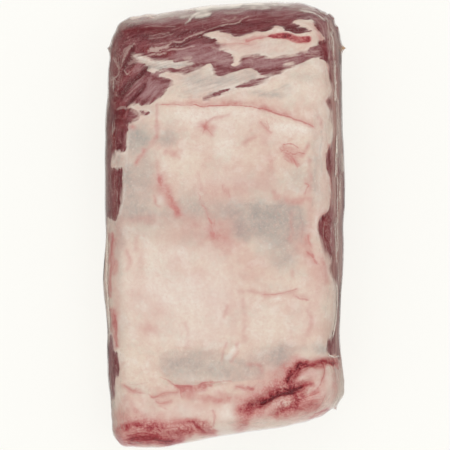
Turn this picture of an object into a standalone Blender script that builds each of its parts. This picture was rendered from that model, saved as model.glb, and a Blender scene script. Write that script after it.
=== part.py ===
"""Whole boneless ribeye roast, vacuum-packed in skin-tight clear film and lying with its fatty face up.

Metres, +Z up. The origin is the middle of the footprint, on the surface that the roast lies on, and the
roast's length runs along Y. The solid is one piece: a slab of meat with a rounded rim and a flat underside.
Its upper face has the relief of what the film is drawn over: the fat cap, which ends in a step above the
lean muscle, islands of fat on that muscle, hollows where the ribs lay, and clefts between lumps of fat. Its
rim has the folds, pleats and crimped corners of the film.

Outlines are seen from straight above, in pixels of the reference photograph: x to the right, y downwards.
PIXEL turns them into metres on the roast's widest line.
"""

import math

import bmesh
import bpy
import numpy as np
from mathutils import Vector, noise

# ---------------------------------------------------------------- driving dimensions
LENGTH = 0.390
THICKNESS = 0.095  # on the side of the large rib-eye muscle, at right
THIN_SIDE = 0.082  # the lip, at left
WIDEST_HEIGHT = 0.040  # the sides slump outwards to here
FOOT_INSET = 0.014  # the flat underside ends this far inside the outline
RIM_RADIUS = {"right": 0.030, "left": 0.027, "far": 0.042, "near": 0.026}
RIM_POWER = 2.4  # 2 is an elliptical rim, and more is squarer
FAR_END_DROP = 0.007

FAT_STEP = 0.0028  # the fat cap stands this far above the lean
ISLAND_STEP = 0.0026
SLIT_DEPTH = 0.0018
STEP_PIXELS = 3.5  # half the width over which the film is drawn down a step

EYE_HEIGHT = 1.50  # what is higher looks larger from here
OUTLINE_LENGTH_PIXELS = 445.0
PIXEL = LENGTH / OUTLINE_LENGTH_PIXELS
MIDDLE_PIXEL = np.array([224.0, 224.5])

CELLS_ACROSS, CELLS_ALONG = 42, 76
RINGS_ABOVE, RINGS_BELOW = 4, 4
SIDE_SAMPLES = 400

# ---------------------------------------------------------------- the outline, side by side, from corner to corner
NEAR_SIDE = [(115, 438), (123, 445.5), (145, 447), (165, 446.5), (198, 440.5), (226, 434.5), (258, 430),
             (290, 424.5), (318, 417), (337, 405)]
RIGHT_SIDE = [(337, 405), (343.5, 393), (343.5, 375), (340, 345), (340, 315), (343.5, 250), (342.8, 230),
              (344.5, 195), (343, 130), (341.5, 60), (340.5, 38), (332, 17)]
FAR_SIDE = [(121, 21), (135, 16), (165, 12), (190, 8), (218, 4.5), (250, 3), (285, 2.5), (308, 5), (332, 17)]
LEFT_SIDE = [(115, 438), (111.5, 420), (111, 400), (107.5, 350), (108, 332), (104.5, 278), (106.5, 222),
             (105.5, 160), (108.5, 90), (110, 55), (112.5, 38), (121, 21)]

# ---------------------------------------------------------------- the fat cap, with what bounds it
FAT_CAP = [
    (127, 107), (144, 106), (158, 100), (169, 91), (179, 84), (171, 77), (162, 75), (170, 72), (185, 73), (197, 68),
    (209, 63), (214, 70), (222, 77), (232, 73), (247, 68), (258, 71), (263, 79), (276, 75), (290, 68), (304, 62),
    (318, 59), (327, 66), (330, 82), (331, 96), (327, 101), (331, 112), (331, 139), (327, 153), (327, 167),
    (331, 180), (331, 203), (328, 213), (320, 217), (318, 227), (322, 243), (328, 262), (335, 280), (339, 292),
    (337, 318), (331, 336), (328, 350), (336, 356), (362, 362), (362, 470), (86, 470), (86, 402), (110, 400),
    (116, 393), (114, 383), (119, 371), (118, 355), (112, 338), (86, 330), (86, 228), (107, 222), (118, 219),
    (121, 195), (123, 170), (112, 168), (110, 162), (114, 151), (125, 151), (128, 130), (131, 122), (137, 116),
    (135, 110),
]
FAT_ISLANDS = [
    [(133, 53), (142, 54), (151, 60), (165, 61.5), (185, 61), (194, 64), (182, 68), (168, 70), (153, 73),
     (146, 70), (148, 66), (140, 60)],
    [(204, 34), (212, 31), (230, 34.5), (248, 36), (264, 32), (274, 26.5), (283, 28), (298, 33), (312, 30),
     (301, 25), (292, 21), (304, 18.5), (312, 20), (317, 30), (325, 38.5), (311, 48), (296, 54.5), (282, 55),
     (269, 58.5), (246, 56), (239, 64), (231, 65.5), (234, 57), (227, 51), (230, 47), (215, 40)],
    [(283, 65), (289, 62.5), (296, 64), (290, 67)],
]
LEAN_SLITS = [
    [(207, 96.5), (215, 92), (226, 90.5), (216, 96)],
    [(240, 85.5), (252, 80.5), (272, 77.5), (258, 85)],
    [(251, 40), (270, 33), (290, 34), (309, 36), (307, 42), (288, 40), (270, 38)],
]

# Clefts and creases: the line, its half width in pixels and its depth.
CLEFTS = [
    ([(138, 106), (162, 104), (190, 106), (228, 105.5), (255, 106), (270, 111), (290, 116), (308, 123)], 3.0, 0.0016),
    ([(246, 408), (260, 404), (272, 395), (290, 392), (309, 384.5)], 5.0, 0.0060),
    ([(291, 392), (291, 382), (298, 370), (310, 364), (337, 359)], 5.0, 0.0048),
    ([(296, 392), (292, 404), (280, 413)], 4.5, 0.0034),
    ([(325, 365), (325, 376), (319, 390)], 3.5, 0.0024),
    ([(161, 377), (178, 384), (204, 384), (228, 381), (262, 382)], 3.5, 0.0026),
    ([(128, 388), (136, 391), (148, 393)], 3.0, 0.0018),
    ([(152, 398), (164, 394), (176, 392)], 3.0, 0.0018),
    ([(192, 421), (199, 427), (206, 433)], 3.5, 0.0020),
    ([(147, 66), (133, 81), (120, 97), (113, 108)], 4.0, 0.0026),
    ([(143, 84), (131, 98), (121, 113)], 3.5, 0.0020),
    ([(128, 438), (150, 435), (174, 437)], 4.0, 0.0022),
]

# Soft lumps, and hollows with a height below nought: middle, half sizes in pixels, turn in degrees, height.
LUMPS = [
    ((311, 373), (15, 7), -12, 0.0040),
    ((311, 397), (15, 9), 0, 0.0034),
    ((280, 404), (9, 7), 0, 0.0030),
    ((331, 384), (7, 15), 0, 0.0016),
    ((232, 414), (12, 8), 0, 0.0020),
    ((145, 404), (19, 9), 0, 0.0022),
    ((158, 200), (5, 6), 0, 0.0022),
    ((229, 356), (4, 7), 20, 0.0020),
    ((294, 128), (24, 8), 5, 0.0018),
    ((268, 214), (34, 12), 0, -0.0028),
    ((200, 368), (40, 13), 0, -0.0030),
    ((262, 366), (26, 14), 0, -0.0022),
    ((148, 137), (24, 11), 0, -0.0022),
    ((172, 204), (12, 18), 35, -0.0016),
    ((195, 236), (26, 12), 0, -0.0016),
]
UNDULATION = 0.0011  # the slow unevenness of soft meat under film
UNDULATION_SIZE = 0.034

# The film's folds on the rim: where round the outline, how many, how deep.
CORNER_PLEAT_HEIGHT = 0.0009
CORNER_PLEAT_PITCH = 0.015
CORNER_PLEAT_REACH = 0.042
SIDE_FOLD_HEIGHT = 0.0010
SIDE_FOLD_PITCH = 0.017

# Crimped points of the film that stick out of the rim: pixel, height above the surface, reach.
FILM_CRIMPS = [
    ((345, 47), 0.050, 0.0045),
    ((107, 48), 0.046, 0.0030),
    ((329, 11.5), 0.052, 0.0026),
    ((333, 15.5), 0.047, 0.0026),
    ((336, 21), 0.044, 0.0024),
    ((339, 29), 0.042, 0.0026),
    ((336, 409), 0.036, 0.0050),
]
CRIMP_TIP = 0.25  # a tip's size, as a share of its root's


# ---------------------------------------------------------------- plane geometry
def smooth_line(points, samples):
    """An even row of samples on a Catmull-Rom curve through the points."""
    points = np.array(points, float)
    padded = np.vstack([2 * points[0] - points[1], points, 2 * points[-1] - points[-2]])
    curve = []
    for before, start, end, after in zip(padded, padded[1:], padded[2:], padded[3:]):
        t = np.linspace(0, 1, 24, endpoint=False)[:, None]
        curve.append(0.5 * (2 * start + (end - before) * t + (2 * before - 5 * start + 4 * end - after) * t**2
                            + (3 * start - before - 3 * end + after) * t**3))
    curve = np.vstack([*curve, points[-1:]])
    run = np.concatenate([[0], np.cumsum(np.linalg.norm(np.diff(curve, axis=0), axis=1))])
    even = np.linspace(0, run[-1], samples)
    return np.column_stack([np.interp(even, run, curve[:, axis]) for axis in (0, 1)])


def nearest_on_line(places, line):
    """For each place, the nearest point of a polyline."""
    best, found = np.full(len(places), np.inf), np.zeros_like(places)
    for start, end in zip(line, line[1:]):
        along = end - start
        share = np.clip((places - start) @ along / max(along @ along, 1e-18), 0, 1)
        foot = start + share[:, None] * along
        gap = np.linalg.norm(places - foot, axis=1)
        closer = gap < best
        best[closer], found[closer] = gap[closer], foot[closer]
    return best, found


def inside(places, loop):
    """True for each place inside a closed loop."""
    x, y = places.T
    odd = np.zeros(len(places), bool)
    for (x0, y0), (x1, y1) in zip(loop, np.roll(loop, -1, axis=0)):
        spans = (y0 > y) != (y1 > y)
        crossing = x0 + (y - y0) * (x1 - x0) / (y1 - y0 if y1 != y0 else 1e-12)
        odd ^= spans & (x < crossing)
    return odd


def depth_inside(places, outline):
    """How far each place lies inside an outline, below nought outside it."""
    loop = np.array(outline, float)
    gap, _ = nearest_on_line(places, np.vstack([loop, loop[:1]]))
    return np.where(inside(places, loop), gap, -gap)


def smooth_step(value, low, high):
    share = np.clip((value - low) / (high - low), 0, 1)
    return share * share * (3 - 2 * share)


# ---------------------------------------------------------------- from the photograph to the roast and back
def metres(pixels):
    """Points of the outline, in metres from its middle."""
    return (np.asarray(pixels, float) - MIDDLE_PIXEL) * [PIXEL, -PIXEL]


def pixels_of(points):
    """The pixel at which each point of the roast is seen from above."""
    nearer = (EYE_HEIGHT - WIDEST_HEIGHT) / (EYE_HEIGHT - points[:, 2])
    return points[:, :2] * nearer[:, None] * [1 / PIXEL, -1 / PIXEL] + MIDDLE_PIXEL


# ---------------------------------------------------------------- the plain slab
SIDES = {name: metres(smooth_line(points, SIDE_SAMPLES))
         for name, points in (("near", NEAR_SIDE), ("right", RIGHT_SIDE), ("far", FAR_SIDE), ("left", LEFT_SIDE))}
OUTLINE = np.vstack([SIDES["near"], SIDES["right"][1:], SIDES["far"][-2::-1], SIDES["left"][-2:0:-1]])
HALF_WIDTH = np.ptp(OUTLINE[:, 0]) / 2
HALF_LENGTH = np.ptp(OUTLINE[:, 1]) / 2


def on_outline(s, t):
    """The outline's point for each point of the edge of a square from -1 to 1."""
    found = np.zeros((len(s), 2))
    for name, fixed, value, running in (("near", t, -1, s), ("far", t, 1, s), ("left", s, -1, t), ("right", s, 1, t)):
        chosen = np.isclose(fixed, value)
        share = (running[chosen] + 1) / 2 * (SIDE_SAMPLES - 1)
        for axis in (0, 1):
            found[chosen, axis] = np.interp(share, np.arange(SIDE_SAMPLES), SIDES[name][:, axis])
    return found


def rim_radius(direction):
    """The rim's radius on the side that each direction points to."""
    x, y = direction.T
    across = np.where(x > 0, RIM_RADIUS["right"], RIM_RADIUS["left"])
    along = np.where(y > 0, RIM_RADIUS["far"], RIM_RADIUS["near"])
    return (across * x**2 + along * y**2) / np.maximum(x**2 + y**2, 1e-12)


def drawn_in(edge, by_share, radius=None):
    """Outline points moved inwards by a share of the rim's radius, or of the one given."""
    across = radius or np.where(edge[:, 0] > 0, RIM_RADIUS["right"], RIM_RADIUS["left"])
    along = radius or np.where(edge[:, 1] > 0, RIM_RADIUS["far"], RIM_RADIUS["near"])
    return edge * np.column_stack([1 - by_share * across / HALF_WIDTH, 1 - by_share * along / HALF_LENGTH])


def crown(plan):
    """The height of the upper face, without its rim."""
    x, y = plan.T
    slope = smooth_step(x, -HALF_WIDTH * 0.95, HALF_WIDTH * 0.35)
    far_end = smooth_step(y, HALF_LENGTH * 0.45, HALF_LENGTH)
    return THIN_SIDE + (THICKNESS - THIN_SIDE) * slope - FAR_END_DROP * far_end


def place_slab(pattern):
    """Puts each vertex of the square pattern on the slab. Its z is nought on the upper face and minus its ring below."""
    s, t, ring = pattern[:, 0], pattern[:, 1], np.rint(-pattern[:, 2]).astype(int)
    rho = np.maximum(np.maximum(np.abs(s), np.abs(t)), 1e-9)
    edge = on_outline(s / rho, t / rho)
    turn = np.radians(45 + 45 * np.minimum(ring, RINGS_ABOVE) / RINGS_ABOVE)
    plan = drawn_in(edge, (1 - np.sin(turn) ** (2 / RIM_POWER))) * rho[:, None]
    rise = np.cos(turn).clip(0) ** (2 / RIM_POWER)
    upper = ring == 0
    gap, foot = nearest_on_line(plan[upper], np.vstack([OUTLINE, OUTLINE[:1]])[::4])
    share = np.clip(gap / rim_radius(foot - plan[upper]), 0, 1)
    rise[upper] = (1 - (1 - share) ** RIM_POWER) ** (1 / RIM_POWER)
    height = WIDEST_HEIGHT + (crown(plan) - WIDEST_HEIGHT) * rise
    lower = ring > RINGS_ABOVE
    under = np.radians(90 * (ring[lower] - RINGS_ABOVE) / RINGS_BELOW)
    plan[lower] = drawn_in(edge[lower], 1 - np.cos(under).clip(0) ** (2 / RIM_POWER), FOOT_INSET)
    height[lower] = WIDEST_HEIGHT * (1 - np.sin(under) ** (2 / RIM_POWER))
    return np.column_stack([plan, height])


# ---------------------------------------------------------------- relief
def top_relief(pixels):
    """How far the film stands out over what lies under it, seen from above."""
    rise = FAT_STEP * smooth_step(depth_inside(pixels, FAT_CAP), -STEP_PIXELS, STEP_PIXELS)
    for island in FAT_ISLANDS:
        rise = np.maximum(rise, ISLAND_STEP * smooth_step(depth_inside(pixels, island), -STEP_PIXELS, STEP_PIXELS))
    for slit in LEAN_SLITS:
        rise -= SLIT_DEPTH * smooth_step(depth_inside(pixels, slit), -STEP_PIXELS, STEP_PIXELS)
    cleft = np.zeros(len(pixels))
    for line, half_width, depth in CLEFTS:
        gap, _ = nearest_on_line(pixels, smooth_line(line, 30))
        cleft = np.maximum(cleft, depth * np.exp(-((gap / half_width) ** 2)))
    for middle, half_sizes, degrees, height in LUMPS:
        turn = math.radians(degrees)
        x, y = (pixels - middle).T
        along = (x * math.cos(turn) - y * math.sin(turn)) / half_sizes[0]
        across = (x * math.sin(turn) + y * math.cos(turn)) / half_sizes[1]
        rise += height * np.exp(-(along**2 + across**2))
    return rise - cleft


def rim_relief(points):
    """Pleats at the corners, where the film is gathered, and long folds along the sides."""
    corners = np.array([SIDES["near"][0], SIDES["near"][-1], SIDES["far"][0], SIDES["far"][-1]])
    rise = np.zeros(len(points))
    for corner in corners:
        round_corner = points[:, :2] - corner * 0.8
        bearing = np.arctan2(round_corner[:, 1], round_corner[:, 0])
        gap = np.linalg.norm(points[:, :2] - corner, axis=1)
        pleats = np.cos(bearing * CORNER_PLEAT_REACH / CORNER_PLEAT_PITCH * 2 * math.pi)
        rise += CORNER_PLEAT_HEIGHT * pleats * np.exp(-((gap / CORNER_PLEAT_REACH) ** 2))
    side = smooth_step(np.abs(points[:, 0]), HALF_WIDTH * 0.8, HALF_WIDTH * 0.95)
    wander = 0.9 * np.sin(points[:, 1] / 0.05 + points[:, 0] * 20)
    folds = np.sin(points[:, 2] / SIDE_FOLD_PITCH * 2 * math.pi + wander)
    return rise + SIDE_FOLD_HEIGHT * folds * side


def undulation(points):
    return np.array([noise.fractal(Vector(p) / UNDULATION_SIZE, 1.0, 2.0, 3) for p in points]) * UNDULATION


# ---------------------------------------------------------------- the mesh
def slab_mesh():
    """The upper face as a grid, its border run down the rim ring by ring, and one flat face below."""
    bm = bmesh.new()
    bmesh.ops.create_grid(bm, x_segments=CELLS_ACROSS, y_segments=CELLS_ALONG, size=1.0)
    border = [edge for edge in bm.edges if edge.is_boundary]
    for ring in range(1, RINGS_ABOVE + RINGS_BELOW + 1):
        made = bmesh.ops.extrude_edge_only(bm, edges=border)["geom"]
        for vert in (item for item in made if isinstance(item, bmesh.types.BMVert)):
            vert.co.z = -ring
        border = [item for item in made if isinstance(item, bmesh.types.BMEdge)]
    bmesh.ops.contextual_create(bm, geom=border)
    pattern = np.array([vert.co for vert in bm.verts])
    for vert, place in zip(bm.verts, place_slab(pattern)):
        vert.co = place
    bmesh.ops.recalc_face_normals(bm, faces=bm.faces)
    return bm


def soften(bm, passes):
    """Takes the creases out of the upper face where the rims of two sides meet."""
    loose = [vert for vert in bm.verts if vert.co.z > WIDEST_HEIGHT * 1.2]
    for _ in range(passes):
        bmesh.ops.smooth_vert(bm, verts=loose, factor=0.5, use_axis_x=True, use_axis_y=True, use_axis_z=True)


def add_relief(bm):
    bm.normal_update()
    points = np.array([vert.co for vert in bm.verts])
    seen = smooth_step(points[:, 2], WIDEST_HEIGHT * 1.4, WIDEST_HEIGHT * 2.0)
    free = smooth_step(points[:, 2], 0.004, 0.020)  # nothing moves where the roast rests
    upwards = top_relief(pixels_of(points)) * seen
    outwards = rim_relief(points) * (1 - seen) * free + undulation(points) * free
    for vert, up, out in zip(bm.verts, upwards, outwards):
        vert.co += vert.normal * out + Vector((0, 0, up))


def pull_crimp(bm, pixel, height, reach):
    """Draws the rim's face at that pixel out to a small point."""
    aim = Vector((*metres(pixel), height))
    face = min(bm.faces, key=lambda face: (face.calc_center_median() - aim).length)
    outward = Vector((face.normal.x, face.normal.y, 0)).normalized()
    made = bmesh.ops.extrude_discrete_faces(bm, faces=[face])["faces"][0]
    middle = made.calc_center_median()
    for vert in made.verts:
        vert.co = middle + (vert.co - middle) * CRIMP_TIP + outward * reach


def move_to_origin(bm):
    low, high = (Vector(map(pick, zip(*(vert.co for vert in bm.verts)))) for pick in (min, max))
    middle = (low + high) / 2
    bmesh.ops.translate(bm, verts=bm.verts, vec=(-middle.x, -middle.y, -low.z))


# ---------------------------------------------------------------- materials
def material(name, colour, roughness):
    made = bpy.data.materials.new(name)
    made.use_nodes = True
    shader = made.node_tree.nodes["Principled BSDF"]
    shader.inputs["Base Color"].default_value = (*colour, 1)
    shader.inputs["Roughness"].default_value = roughness
    shader.inputs["Metallic"].default_value = 0.0
    return made


def main():
    for obj in list(bpy.data.objects):
        bpy.data.objects.remove(obj)
    bm = slab_mesh()
    soften(bm, 3)
    add_relief(bm)
    for pixel, height, reach in FILM_CRIMPS:
        pull_crimp(bm, pixel, height, reach)
    move_to_origin(bm)
    for face in bm.faces:
        face.smooth = True
    mesh = bpy.data.meshes.new("roast")
    bm.to_mesh(mesh)
    bm.free()
    mesh.materials.append(material("meat_in_film", (0.66, 0.46, 0.39), 0.28))
    roast = bpy.data.objects.new("roast", mesh)
    bpy.context.scene.collection.objects.link(roast)


main()
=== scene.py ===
import math

import bmesh
import bpy
import numpy as np
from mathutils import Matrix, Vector


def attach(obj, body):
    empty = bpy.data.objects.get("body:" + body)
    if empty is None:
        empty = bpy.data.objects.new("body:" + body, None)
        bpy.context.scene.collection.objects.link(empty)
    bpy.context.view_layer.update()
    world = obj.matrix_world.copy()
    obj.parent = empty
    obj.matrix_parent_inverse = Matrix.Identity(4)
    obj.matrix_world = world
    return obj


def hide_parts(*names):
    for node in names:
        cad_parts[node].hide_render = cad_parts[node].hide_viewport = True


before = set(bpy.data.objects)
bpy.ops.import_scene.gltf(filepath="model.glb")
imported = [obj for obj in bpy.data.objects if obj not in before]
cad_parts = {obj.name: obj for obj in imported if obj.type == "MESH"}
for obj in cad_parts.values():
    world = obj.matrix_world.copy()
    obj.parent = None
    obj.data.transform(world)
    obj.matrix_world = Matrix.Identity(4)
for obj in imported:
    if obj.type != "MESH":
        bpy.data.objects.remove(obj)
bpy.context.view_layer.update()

# ---------------------------------------------------------------- the roast's skin
# A whole boneless ribeye, raw, packed in clear film that the vacuum has drawn tight. Meat and film both
# start from the outer skin of the solid, cut again into small even cells. What is drawn on them is placed as
# it shows from an eye straight above, in pixels of a 450-pixel square picture: x to the right, y downwards.
EYE_HEIGHT = 1.5
WIDEST_HEIGHT = 0.040
PICTURE_WIDTH = 450
MIDDLE_PIXEL = np.array([224.5, 224.5])
PIXEL = 0.000876  # one pixel at the widest height, in metres


def skin(name, cell):
    """The solid's skin as a new object, in even cells, with its facets rounded off."""
    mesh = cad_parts["roast"].data.copy()
    mesh.materials.clear()
    bm = bmesh.new()
    bm.from_mesh(mesh)
    bmesh.ops.remove_doubles(bm, verts=bm.verts, dist=1e-5)
    bm.to_mesh(mesh)
    bm.free()
    draft = bpy.data.objects.new(name, mesh)
    bpy.context.scene.collection.objects.link(draft)
    rounded = draft.modifiers.new("rounded", "SUBSURF")
    rounded.levels = rounded.render_levels = 1
    cells = draft.modifiers.new("cells", "REMESH")
    cells.mode = "VOXEL"
    cells.voxel_size = cell
    eased = draft.modifiers.new("eased", "SMOOTH")
    eased.factor = 0.5
    eased.iterations = 6
    made = bpy.data.meshes.new_from_object(draft.evaluated_get(bpy.context.evaluated_depsgraph_get()))
    made.name = name
    draft.modifiers.clear()
    draft.data = made
    for face in made.polygons:
        face.use_smooth = True
    return draft


def points_of(mesh):
    """The mesh's vertices, one to a row."""
    found = np.empty(len(mesh.vertices) * 3)
    mesh.vertices.foreach_get("co", found)
    return found.reshape(-1, 3)


def outwards_of(mesh):
    """The way out of the mesh at each vertex."""
    found = np.empty(len(mesh.vertices) * 3)
    mesh.vertex_normals.foreach_get("vector", found)
    return found.reshape(-1, 3)


def seen_at(points):
    """The pixel at which the eye sees each point."""
    nearer = (EYE_HEIGHT - WIDEST_HEIGHT) / (EYE_HEIGHT - points[:, 2])
    return points[:, :2] * nearer[:, None] * [1 / PIXEL, -1 / PIXEL] + MIDDLE_PIXEL


# ---------------------------------------------------------------- the meat: where the fat ends
# The face that shows is covered by a sheet of hard fat, cut off with a knife at the far end and along both
# long edges, where lean muscle shows. On the lean lie islands of fat that the knife left.


def step(value, low, high):
    """0 below low, 1 above high, and a smooth rise between them."""
    share = np.clip((value - low) / (high - low), 0, 1)
    return share * share * (3 - 2 * share)


def lumps(points, size, seed):
    """Smooth noise from -1 to 1 whose lumps are about that size."""
    places = np.asarray(points) / size
    corner = np.floor(places).astype(np.int64)
    share = places - corner
    share = share * share * (3 - 2 * share)
    total = np.zeros(len(places))
    for offset in np.ndindex(*(2,) * places.shape[1]):
        cell = corner + offset
        mixed = cell @ np.array([73856093, 19349663, 83492791][:places.shape[1]]) + seed * 2654435761
        mixed = (mixed ^ (mixed >> 13)) * 1274126177 & 0x7FFFFFFF
        mixed = (mixed ^ (mixed >> 15)) * 668265263 & 0x7FFFFFFF
        total += np.prod(np.where(offset, share, 1 - share), axis=1) * (mixed / 0x3FFFFFFF - 1)
    return total


def gap_to(places, line):
    """How far each place is from a polyline, and the signed side of it that the place is on."""
    best = np.full(len(places), np.inf)
    side = np.zeros(len(places))
    for start, end in zip(line, line[1:]):
        along = end - start
        away = places - start
        share = np.clip(away @ along / max(along @ along, 1e-12), 0, 1)
        gap = np.linalg.norm(away - share[:, None] * along, axis=1)
        cross = (away[:, 0] * along[1] - away[:, 1] * along[0]) / max(np.linalg.norm(along), 1e-6)
        closer = gap < best
        best[closer] = gap[closer]
        side[closer] = cross[closer]
    return best, side


def inside(places, loop):
    """Which places lie inside a loop."""
    x, y = places.T
    odd = np.zeros(len(places), bool)
    for (x0, y0), (x1, y1) in zip(loop, np.roll(loop, -1, axis=0)):
        if y0 != y1:
            odd ^= ((y0 > y) != (y1 > y)) & (x < x0 + (y - y0) * (x1 - x0) / (y1 - y0))
    return odd


def rounded_line(points, closed=False):
    """A smooth curve through the points, in short straight steps."""
    points = np.array(points, float)
    before, after = 2 * points[:1] - points[1:2], 2 * points[-1:] - points[-2:-1]
    if closed:
        before, after = points[-1:], points[:2]
    padded = np.vstack([before, points, after])
    steps = np.linspace(0, 1, 3, endpoint=False)[:, None]
    curve = [0.5 * (2 * b + (c - a) * steps + (2 * a - 5 * b + 4 * c - d) * steps**2
                    + (3 * b - a - 3 * c + d) * steps**3)
             for a, b, c, d in zip(padded, padded[1:], padded[2:], padded[3:])]
    return np.vstack(curve if closed else [*curve, points[-1:]])


FAR_OFF = 30.0  # pixels; nothing drawn reaches further than this from its line


def depth_inside(places, loop):
    """How many pixels each place lies inside a loop, below nought outside it."""
    loop = rounded_line(loop, closed=True)
    found = np.full(len(places), -FAR_OFF)
    near = np.all((places > loop.min(0) - FAR_OFF) & (places < loop.max(0) + FAR_OFF), axis=1)
    gap, _ = gap_to(places[near], np.vstack([loop, loop[:1]]))
    found[near] = np.where(inside(places[near], loop), gap, -gap)
    return np.clip(found, -FAR_OFF, FAR_OFF)


def keep(mesh, name, values):
    """Stores one number for each vertex, for the shader to read."""
    mesh.attributes.new(name, "FLOAT", "POINT").data.foreach_set("value", values.astype(np.float32))


MEAT_CELL = 0.00115
meat = skin("meat", MEAT_CELL)
meat_points = points_of(meat.data)
meat_outwards = outwards_of(meat.data)


def stray(points, pixels, size, seed):
    """How far drawn outlines stray, in pixels each way, in lumps of that size."""
    return pixels * np.column_stack([lumps(points, size, seed), lumps(points, size, seed + 1)])


WALL_STRAY = 24.0


def wall_stray(points, outwards):
    """Down the walls, which the eye sees edge on, the outlines stray more and more."""
    down_the_wall = WALL_STRAY * step(-points[:, 2], -0.070, -0.030)
    along = lumps(points, 0.017, 41) + 0.5 * lumps(points, 0.008, 42)
    return (down_the_wall * along)[:, None] * step(np.abs(outwards[:, [1, 0]]), 0.5, 0.9)


seen = seen_at(meat_points) + stray(meat_points, 1.1, 0.009, 1) + stray(meat_points, 0.4, 0.0035, 3)
seen = seen + wall_stray(meat_points, meat_outwards)

FAT_SHEET = [
    (126, 107), (136, 103.6), (145.5, 105.5), (151, 102.7), (158, 99), (162, 95.5), (165.5, 91),
    (168, 87), (172.7, 83), (171, 80.5), (163.6, 77), (160, 75.5), (165.5, 72), (179, 72.7), (186, 73.5),
    (190, 72), (195.5, 69), (201, 67), (206, 64), (211, 63.6), (213.6, 66.4), (215, 72), (219, 74.5),
    (224, 75.5), (230, 72.7), (241, 69), (247, 68.2), (254.5, 70), (259, 71.8), (262, 75.5), (271, 73.6),
    (279, 72.3), (286, 69), (293, 66.8), (298, 63.6), (304, 61.8), (309, 59), (316, 56.8), (322, 58.2),
    (327, 61.8), (330, 67.3), (330.5, 77), (332, 84), (332.7, 91), (330, 97), (327, 101), (329, 105.5),
    (332, 112), (332, 120), (334, 128), (333, 138), (331, 143), (329, 150), (327, 158), (327, 167),
    (330, 173), (333, 183), (331, 196), (332, 203), (329, 212), (322, 215), (319, 219), (318, 226),
    (320, 234), (322, 242), (324, 250), (328, 255), (331, 262), (330, 268), (331, 273), (334, 277),
    (337, 281), (338, 292), (337.5, 310), (336.5, 320), (334.5, 330), (330, 340), (328, 345), (327, 350),
    (329.5, 354), (337, 355.5), (344, 358), (372, 360), (372, 480), (76, 480), (76, 404), (108, 402),
    (112, 400), (115, 395), (115, 388), (114.5, 380), (117, 377), (119, 370), (118, 360), (116.5, 353),
    (113, 350), (111, 338), (104, 334), (76, 332), (76, 214), (104, 216), (109, 218.5), (113, 220.5),
    (117, 219), (119, 210), (121, 190), (122, 178), (123, 170), (118, 169), (112, 168), (110.5, 164),
    (112, 158), (115.5, 151), (125, 151), (126, 140), (127, 128), (131, 122), (134, 120), (138, 117),
    (137, 113), (133, 109),
]
FAT_ISLANDS = [
    [(133, 54), (140, 54), (144, 56), (149, 58), (153, 60.5), (170, 61), (180, 62), (190, 61.5),
     (193, 64), (185, 66.5), (178, 69.5), (169, 68), (162, 70), (156, 72), (150, 72.7), (146, 70),
     (148, 66.5), (144.5, 63.6), (140, 61), (134.5, 58)],
    [(205, 33.5), (215, 31), (220, 31.4), (230, 34), (239, 36.4), (250, 33), (260, 31.4), (269, 29),
     (276, 26), (281, 26.8), (284, 29), (293, 31.4), (302, 32.3), (312, 31), (306, 27.3), (297, 24),
     (292.5, 21.5), (297, 19), (311, 18.6), (313.6, 21), (316, 27), (321, 31.8), (325.5, 37.3),
     (324, 40), (319, 41.8), (317, 45.5), (310, 48), (307, 51.8), (300, 52.7), (294.5, 55.5),
     (283.6, 55.5), (272, 58.2), (265.5, 56.4), (251, 56.4), (243, 57), (241, 61), (239, 64.5),
     (235.5, 66.4), (231, 65), (233.6, 61.8), (234.5, 58), (230, 54.5), (225, 51), (220, 49.5),
     (226, 46), (222.7, 44.5), (217, 41.8), (214.5, 38.2), (210, 37.3)],
    [(284, 66), (287, 63), (293, 62), (297, 63), (294, 65.5), (289, 66.5)],
]
LEAN_WINDOWS = [
    [(202, 98.2), (210, 95.2), (219, 91.8), (229, 89.2), (223, 93.2), (214, 97), (207, 98.8)],
    [(235, 87.5), (243, 83), (252, 79.4), (262, 78.6), (268, 77), (262, 82), (254, 85.2), (244, 86.6)],
    [(141, 112), (146, 111.5), (148, 113.5), (143, 115)],
    [(120, 110), (126, 109), (134, 111.5), (137, 115), (133, 119), (127, 120)],
]

fat = depth_inside(seen, FAT_SHEET)
for island in FAT_ISLANDS:
    fat = np.maximum(fat, depth_inside(seen, island))
for window in LEAN_WINDOWS:
    fat = np.minimum(fat, -depth_inside(seen, window))

# The cut ends, which the picture doesn't show: the round rib-eye muscle, the cap muscle curled over it, and
# the lip, each with fat round it. They lie on the two end walls below the rim.
EYE_MUSCLE = (0.030, 0.040, 0.058, 0.027)  # middle across, middle height, half width, half height
CAP_MUSCLE = (0.022, 0.038, 0.078, 0.041)
LIP_MUSCLE = (-0.066, 0.030, 0.026, 0.016)
CAP_THICKNESS = 0.16  # a share of the cap's half sizes
END_MUSCLE_DEPTH = 30.0  # turns those shares into pixels
across = meat_points[:, 0]
height = meat_points[:, 2]
eye_gap, cap_gap, lip_gap = (np.hypot((across - x) / half_width, (height - z) / half_height) - 1
                             for x, z, half_width, half_height in (EYE_MUSCLE, CAP_MUSCLE, LIP_MUSCLE))
cap_lean = np.where(height < 0.036 - 0.25 * across, -1.0, CAP_THICKNESS - np.abs(cap_gap))
end_lean = np.maximum(np.maximum(-eye_gap, cap_lean), -lip_gap) * END_MUSCLE_DEPTH
facing_end = np.abs(meat_outwards[:, 1]) + 0.14 * lumps(meat_points, 0.012, 45)
end_wall = step(facing_end, 0.72, 0.86) * step(-meat_points[:, 2], -0.072, -0.060)
fat = fat * (1 - end_wall) - end_lean * end_wall

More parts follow.
